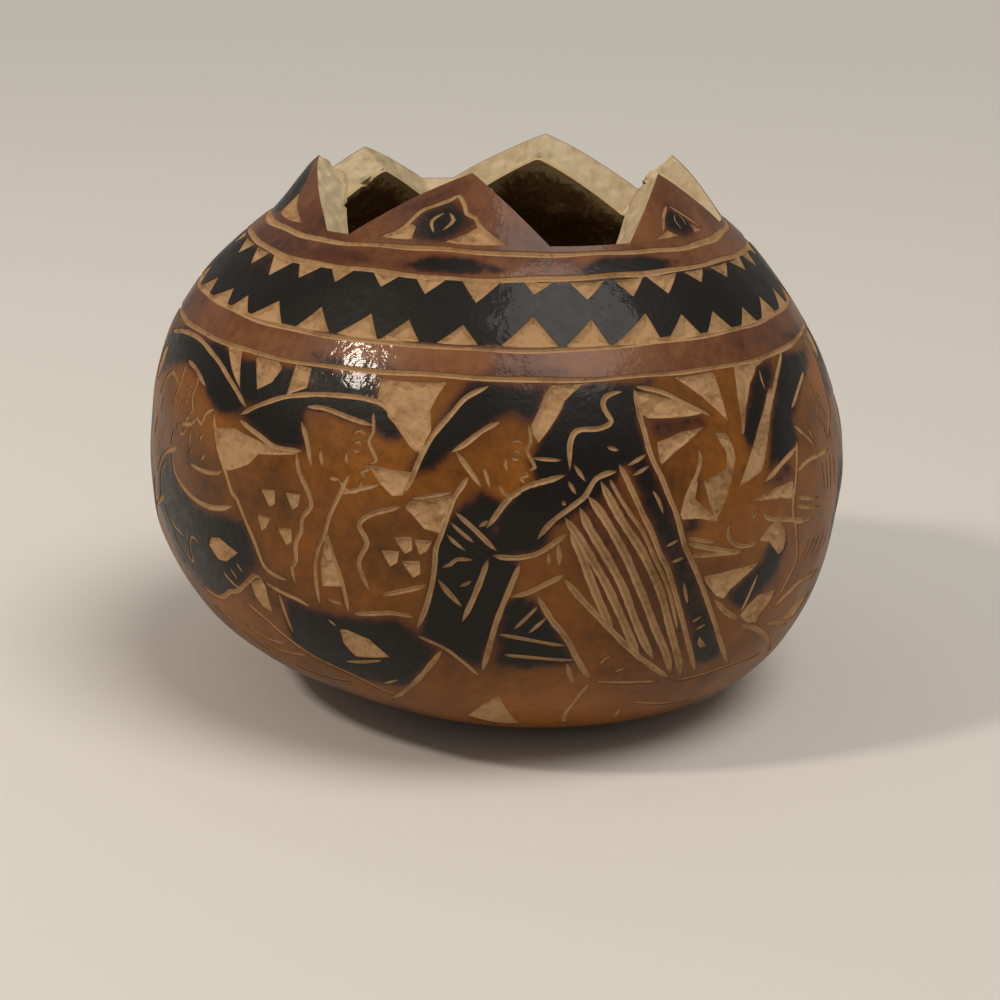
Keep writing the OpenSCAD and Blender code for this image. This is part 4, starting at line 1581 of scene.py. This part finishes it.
    def _inside(self) -> tuple[np.ndarray, np.ndarray, list[int]]:
        """Lays a plainer sheet for the wall's inside, and keeps it for the lining.

        Returns:
            Its points, its triangles, and the points along the sawn edge.
        """
        c, chart, edge = self.carving, self.carving.chart, self.edge
        rng = np.random.default_rng(17)
        spacing = 1.7
        rows = [edge]
        for height, turn in chart.levels(spacing):
            turn = turn + rng.uniform(-0.2, 0.2, len(turn)) * 2 * math.pi / len(turn)
            turn = turn[height < c.rim.height(turn) - 0.9]
            rows.append(chart.spread(turn, np.full(len(turn), height)))
        low = chart.foot_grid(spacing)
        rows.append(low[np.linalg.norm(low, axis=1) < chart.rho[0] - 0.8])
        ring = [(k, (k + 1) % len(edge)) for k in range(len(edge))]
        flat, faces, sources = triangles(np.vstack(rows), ring, 1e-5)
        faces = faces[within(flat[faces].mean(axis=1), edge)]
        place = {source: i for i, merged in enumerate(sources) for source in merged}
        point, normal = chart.lift(flat, sanded=False)
        inner = point - normal * self.wall
        turn, height = chart.read(flat)
        self.inner = inner, faces, c.rim.height(turn) - height
        return inner, faces, [place[k] for k in range(len(edge))]

    def pith(self, felt: bpy.types.Material) -> None:
        """Builds the dry lining against the wall's inside, after the wall.

        Args:
            felt: The lining's finish.
        """
        inner, faces, below = self.inner
        faces = faces[below[faces].mean(axis=1) > self.bare_edge]
        piece = mesh_piece("felted_lining", *pick(inner, faces, {"below": below}))
        piece.data.materials.append(felt)
        finish(piece, "pith_lining", crease=50, wall=self.lining, side=1.0)


@dataclass
class Bands:
    """The level grooves and the zigzag band between them.

    Attributes:
        Triangle: Left corner, tip and right corner, in degrees, and the tip's height.
        grooves: Heights of the level grooves.
        groove_w: Their width, in millimetres.
        pitch: Distance between triangles on the sides that the photo doesn't show, in degrees.
        lower: The pale triangles that stand on the second groove.
        upper: The pale triangles that hang from the third groove.
    """

    Triangle = tuple[float, float, float, float]

    grooves: tuple[float, ...] = (52.2, 55.5, 62.5, 64.9)
    groove_w: float = 0.78
    pitch: float = 10.0
    lower: tuple[Triangle, ...] = (
        (-78, -71.5, -70, 57.9), (-69, -62, -59.5, 57.8), (-58.7, -55.2, -51.4, 57.7),
        (-51, -45.5, -41.8, 58), (-38.5, -35, -31, 58.3), (-29.8, -24.2, -21.6, 58.3),
        (-21.2, -16.7, -13.9, 58), (-11.1, -6.7, -3.7, 57.8), (0, 6, 10.3, 58.9),
        (11.3, 17, 19.5, 58.5), (20.3, 28.3, 29.8, 58.7), (31.2, 36.3, 39, 58.2),
        (40.3, 44.6, 47.7, 58), (50.3, 54, 56.8, 57.7), (58.5, 63.5, 67, 58.2))
    upper: tuple[Triangle, ...] = (
        (-77, -73, -69.5, 60.6), (-67.5, -63.3, -60, 60.5), (-58, -53.8, -49, 60.1),
        (-47.9, -44.5, -40, 60.6), (-37.9, -34.7, -31.5, 60.8), (-27.2, -24.2, -20.7, 60.9),
        (-17.9, -14.9, -11, 60.6), (-8.3, -4.8, 0, 60), (4.5, 6.3, 10.7, 61),
        (13.9, 17, 21.9, 60.4), (23.6, 26.9, 31.2, 60.4), (31.8, 35.4, 40.4, 60.3),
        (42.4, 46, 49.3, 60.9), (51.6, 55.5, 60, 60.8), (61, 66.6, 69, 60.8))

    def _round(self, seen: tuple[Triangle, ...], seed: int) -> list[Triangle]:
        """Carries a row of triangles on round the sides that the photo doesn't show.

        Args:
            seen: The triangles on the front.
            seed: Picks another set of uneven steps.

        Returns:
            The whole row.
        """
        rng = np.random.default_rng(seed)
        start, end = seen[-1][2] + 1.0, seen[0][0] + 360.0 - 1.0
        number = round((end - start) / self.pitch)
        pitch = (end - start) / number
        row = list(seen)
        for k in range(number):
            left = start + k * pitch + rng.uniform(0.2, 1.0)
            right = start + (k + 1) * pitch - rng.uniform(0.2, 1.2)
            tip = left + (right - left) * rng.uniform(0.4, 0.68)
            row.append((left, tip, right, seen[int(rng.integers(len(seen)))][3]))
        return row

    def motif(self) -> Motif:
        """Returns the pale triangles, the burnt zigzag and the burnt touches on its neighbours."""
        m = Motif()
        for seen, seed, level in ((self.lower, 4, self.grooves[1] + 0.25),
                                  (self.upper, 5, self.grooves[2] - 0.2)):
            m.chips += [Chip(((a, level), (b, tip), (c, level)), 0.5, 0.09)
                        for a, b, c, tip in self._round(seen, seed)]
        low, high = self.grooves[1] + 0.2, self.grooves[2] - 0.2
        for start in range(0, 360, 30):
            turns = [start - 1.0 + 4 * i for i in range(9)]
            m.scorches.append(Scorch((*((t, low) for t in turns),
                                      *((t, high) for t in reversed(turns))), 0.93, 0.3))
        edge = self.grooves[3] - 0.3
        for left, right, strength in ((-52, -24, 0.5), (-24, 2, 0.75), (14, 44, 0.9),
                                      (100, 130, 0.6), (170, 215, 0.7), (250, 275, 0.6)):
            third = (right - left) / 3
            m.scorches.append(Scorch((
                (left, edge - 1.6), (left + third, edge - 1.9), (right, edge - 1.3),
                (right - third, edge - 0.2), (left + third, edge)), strength, 0.9))
        low = self.grooves[0] + 0.3
        for left, right in ((-36, -16), (-4, 14), (60, 84), (120, 150), (200, 230)):
            m.scorches.append(Scorch((
                (left, low), (right, low), (right - 3, low + 1.0), (left + 4, low + 1.4)), 0.5, 0.9))
        return m


@dataclass(frozen=True)
class ToothArt:
    """The carving on the teeth, laid out across each tooth and up it in parts of its size."""

    rim: Rim

    @staticmethod
    def _eye() -> Motif:
        """An eye shape between two chips, under a burnt slope."""
        m = Motif()
        m.cut(0.6, (0.2, 0.02, 0.22, 0.19, 0.2, 0.3, 0.18, 0.45, 0.34, 0.61, 0.42, 0.67, 0.56, 0.53,
                    0.59, 0.43, 0.67, 0.37, 0.69, 0.26, 0.78, 0.03))
        m.cut(0.52, (0.4, 0.44, 0.35, 0.3, 0.43, 0.12), (0.42, 0.44, 0.5, 0.33, 0.46, 0.16))
        m.chip((0.16, 0.02, 0.2, 0.13, 0.24, 0.24, 0.29, 0.2, 0.34, 0.02),
               (0.5, 0.02, 0.59, 0.14, 0.69, 0.27, 0.81, 0.02))
        m.burn(0.9, (0.27, 0.17, 0.24, 0.31, 0.24, 0.42, 0.29, 0.52, 0.4, 0.6, 0.52, 0.5, 0.6, 0.38,
                     0.66, 0.3, 0.6, 0.19, 0.52, 0.05, 0.49, 0.02, 0.36, 0.02))
        m.burn(0.75, (0.06, 0.3, 0.1, 0.36, 0.3, 0.66, 0.36, 0.7, 0.12, 0.8, -0.1, 0.5))
        return m

    @staticmethod
    def _half() -> Motif:
        """A burnt slope and one chip, for the left tooth."""
        m = Motif()
        m.cut(0.5, (0.62, 0.4, 0.7, 0.2, 0.79, 0.02))
        m.chip((0.5, 0.02, 0.8, 0.02, 0.72, 0.2, 0.66, 0.4))
        m.burn(1.0, (0.1, 0.02, 0.5, 0.02, 0.66, 0.4, 0.7, 0.62, 0.2, 0.95, 0.02, 0.4))
        return m

    @staticmethod
    def _narrow() -> Motif:
        """A narrower eye shape, for the tooth at the front right."""
        m = Motif()
        m.cut(0.6, (0.24, 0.1, 0.25, 0.36, 0.35, 0.52), (0.35, 0.52, 0.58, 0.28, 0.7, 0.05))
        m.cut(0.42, (0.43, 0.37, 0.4, 0.26, 0.45, 0.07), (0.46, 0.37, 0.51, 0.27, 0.51, 0.1))
        m.chip((0.17, 0.02, 0.29, 0.14, 0.39, 0.03), (0.57, 0.18, 0.67, 0.03, 0.55, 0.02))
        m.burn(0.95, (0.27, 0.35, 0.36, 0.47, 0.57, 0.25, 0.56, 0.08, 0.5, 0.02, 0.39, 0.05,
                      0.28, 0.16))
        return m

    def _on(self, tooth: Tooth, art: Motif, flip: bool) -> Motif:
        """Lays a tooth's carving on it.

        Args:
            tooth: The tooth.
            art: The carving, in parts of a tooth's size.
            flip: Whether the carving looks the other way.

        Returns:
            The carving on the gourd.
        """
        low = self.rim.skin.rim_h + self.rim.floor_h
        high = self.rim.skin.rim_h + tooth.height

        def lay(across: float, up: float) -> Place:
            left = tooth.left + (tooth.tip - tooth.left) * up
            right = tooth.right + (tooth.tip - tooth.right) * up
            share = 1 - across if flip else across
            return left + (right - left) * share, low + (high - low) * up

        return art.laid(lay)

    def motifs(self) -> Iterable[Motif]:
        """Gives the carving of each tooth in turn."""
        for tooth, art, flip in zip(
                self.rim.teeth,
                (self._eye, self._narrow, self._eye, self._eye, self._eye, self._half),
                (False, False, True, False, True, False)):
            yield self._on(tooth, art(), flip)


class Scar:
    """The corky scar where the flower was, sunk in the sanded foot.

    Attributes:
        RADIUS: Its mean radius, in millimetres.
        THICKNESS: Its thickness.
        MIDDLE_X: Place of its middle.
        FACE: How far its face lies above the floor.
        PIT: Depth of the pit that it sits in.
        GAP: Gap round it in the pit.
    """

    RADIUS = 3.3
    THICKNESS = 1.1
    MIDDLE_X = -4.4
    FACE = 0.3
    PIT = 0.7
    GAP = 0.25

    def pit(self) -> np.ndarray:
        """Returns the rows of x and y round the pit."""
        turn = np.linspace(0, 2 * math.pi, 28, endpoint=False)
        reach = (self.RADIUS + self.GAP) * (1 + 0.035 * np.sin(3 * turn) + 0.03 * np.sin(5 * turn + 1))
        return np.column_stack([self.MIDDLE_X + reach * np.cos(turn), reach * np.sin(turn)])

    def build(self, cork: bpy.types.Material) -> None:
        """Builds the scar as a rough corky button.

        Args:
            cork: Its finish.
        """
        bpy.ops.mesh.primitive_grid_add(x_subdivisions=46, y_subdivisions=46, size=2.0)
        piece = alone(bpy.context.active_object)
        piece.name = piece.data.name = "corky_scar"
        mesh = piece.data
        rows = np.zeros(len(mesh.vertices) * 3)
        mesh.vertices.foreach_get("co", rows)
        square = rows.reshape(-1, 3)[:, :2]
        # A square grid laid into a circle keeps every face a clean quad.
        x = square[:, 0] * np.sqrt(1 - square[:, 1] ** 2 / 2)
        y = square[:, 1] * np.sqrt(1 - square[:, 0] ** 2 / 2)
        reach = np.hypot(x, y)
        turn = np.arctan2(y, x)
        edge = self.RADIUS * (1 + 0.03 * np.sin(3 * turn) + 0.02 * np.sin(5 * turn + 1))
        flat = np.column_stack([self.MIDDLE_X + x * edge, y * edge, np.zeros(len(x))])
        rings = 0.08 * np.sin(reach * 17) * reach + 0.1 * ripple(flat, 0.9, 41)
        nub = 0.18 * np.exp(-(reach * 5) ** 2)
        flat[:, 2] = self.FACE + 0.16 + rings * 0.5 - nub * 0.4 + 0.5 * smoothstep(0.9, 1.0, reach)
        mesh.vertices.foreach_set("co", (flat * MM).ravel())
        mesh.flip_normals()
        mesh.update()
        mesh.materials.append(cork)
        finish(piece, "blossom_scar", crease=45, wall=self.THICKNESS)


@dataclass
class Studio:
    """A plain pale floor, soft lights and the camera at the photograph's viewing angle.

    Attributes:
        lens: Focal length, in millimetres.
        target: Point that the camera faces, in millimetres.
        distance: Distance of the camera from it, in millimetres.
        elevation: How far the camera looks down.
        roll: How far it is turned about its own axis.
    """

    lens: float = 72.0
    target: tuple[float, float, float] = (0.464, 0.0, 24.58)
    distance: float = 283.3
    elevation: float = math.radians(16.95)
    roll: float = math.radians(1.53)

    def camera(self) -> None:
        """Makes the camera."""
        data = bpy.data.cameras.new("camera")
        data.lens = self.lens
        data.sensor_width = 36.0
        camera = link(bpy.data.objects.new("camera", data))
        back = Vector((0.0, -math.cos(self.elevation), math.sin(self.elevation)))
        camera.location = (Vector(self.target) + back * self.distance) * MM
        turned = (-back).to_track_quat("-Z", "Y").to_matrix()
        camera.rotation_euler = (turned @ Matrix.Rotation(self.roll, 3, "Z")).to_euler()
        bpy.context.scene.camera = camera

    def lamp(self, name: str, kind: str, place: Sequence[float], aim_h: float, colour: str,
             **settings: float) -> None:
        """Makes a lamp that faces the gourd.

        Args:
            name: The lamp's name.
            kind: The kind of lamp.
            place: Where it stands, in metres.
            aim_h: Height over the origin that it faces, in metres.
            colour: The sRGB hex colour of its light.
            **settings: Its power and its size.
        """
        data = bpy.data.lights.new(name, kind)
        data.color = srgb(colour)[:3]
        for key, value in settings.items():
            setattr(data, key, value)
        lamp = link(bpy.data.objects.new(name, data))
        lamp.location = place
        aim = Vector((0.0, 0.0, aim_h)) - Vector(place)
        lamp.rotation_euler = aim.to_track_quat("-Z", "Y").to_euler()

    def floor(self) -> None:
        """Makes the pale floor."""
        bpy.ops.mesh.primitive_plane_add(size=60.0, location=(0.0, 0.0, -0.00004))
        floor = bpy.context.active_object
        floor.name = "floor"
        floor.data.materials.append(Nodes("matt_pale_board").dress({
            "Base Color": srgb("#dedad3"), "Roughness": 0.85, "Specular IOR Level": 0.2}))

    def world(self) -> None:
        """Makes the pale surroundings, brighter where they are seen than where they light."""
        world = bpy.data.worlds.new("pale_room")
        bpy.context.scene.world = world
        world.use_nodes = True
        tree = world.node_tree
        back = tree.nodes["Background"]
        back.inputs["Color"].default_value = srgb("#f2eee7")
        path = tree.nodes.new("ShaderNodeLightPath")
        seen = tree.nodes.new("ShaderNodeMath")
        seen.operation = "MAXIMUM"
        level = tree.nodes.new("ShaderNodeMapRange")
        level.inputs["To Min"].default_value = 0.3
        level.inputs["To Max"].default_value = 1.0
        for source, target in ((path.outputs["Is Camera Ray"], seen.inputs[0]),
                               (path.outputs["Is Transmission Ray"], seen.inputs[1]),
                               (seen.outputs[0], level.inputs["Value"]),
                               (level.outputs[0], back.inputs["Strength"])):
            tree.links.new(source, target)

    def build(self) -> None:
        """Builds everything round the gourd."""
        self.camera()
        self.floor()
        self.world()
        self.lamp("skylight", "SUN", (0.34, -0.3, 0.9), 0.0, "#fffaf3", energy=1.5,
                  angle=math.radians(34.0))
        self.lamp("window", "AREA", (-0.5, -0.3, 0.56), 0.035, "#fff3e2", energy=2.2, size=0.07)
        bpy.context.scene.view_settings.view_transform = "Standard"


def main() -> None:
    """Builds the gourd's pieces in order and sets the stage."""
    logging.basicConfig(level=logging.INFO, format="%(message)s")
    bpy.ops.object.select_all(action="DESELECT")
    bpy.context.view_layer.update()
    Studio().build()
    skin = Skin()
    rim, bands, scar = Rim(skin), Bands(), Scar()
    carving = Carving(Chart(skin), rim)
    for height in bands.grooves:
        carving.add_ring(height, bands.groove_w)
    for motif in (bands.motif(), *Frieze().motifs(), *ToothArt(rim).motifs()):
        carving.add(motif)
    carving.add_pit(scar.pit(), scar.PIT)
    carving.triangulate()
    shell = Shell(carving)
    shell.rinds({
        RindFinish.BROWN: GourdRind().make(),
        RindFinish.VARNISHED: GourdRind("red_brown_varnished_rind", "#86552f", "#673d23",
                                        "#432416", roughness=0.38, coat=0.2).make(),
        RindFinish.BURNT: GourdRind("iron_burnt_rind", "#5c3620", "#462718", "#2c1b13",
                                    roughness=0.46, coat=0.16).make()})
    shell.wood(CutWood().make(),
               CutWood("knife_sawn_gourd_wood", "#dccbab", "#b49c74", 1.2, 0.22, 0.3).make())
    shell.pith(DriedPith().make())
    scar.build(CutWood("corky_blossom_scar", "#8d6e4a", "#4e3722", 0.7, 0.25).make())


if __name__ == "__main__":
    main()
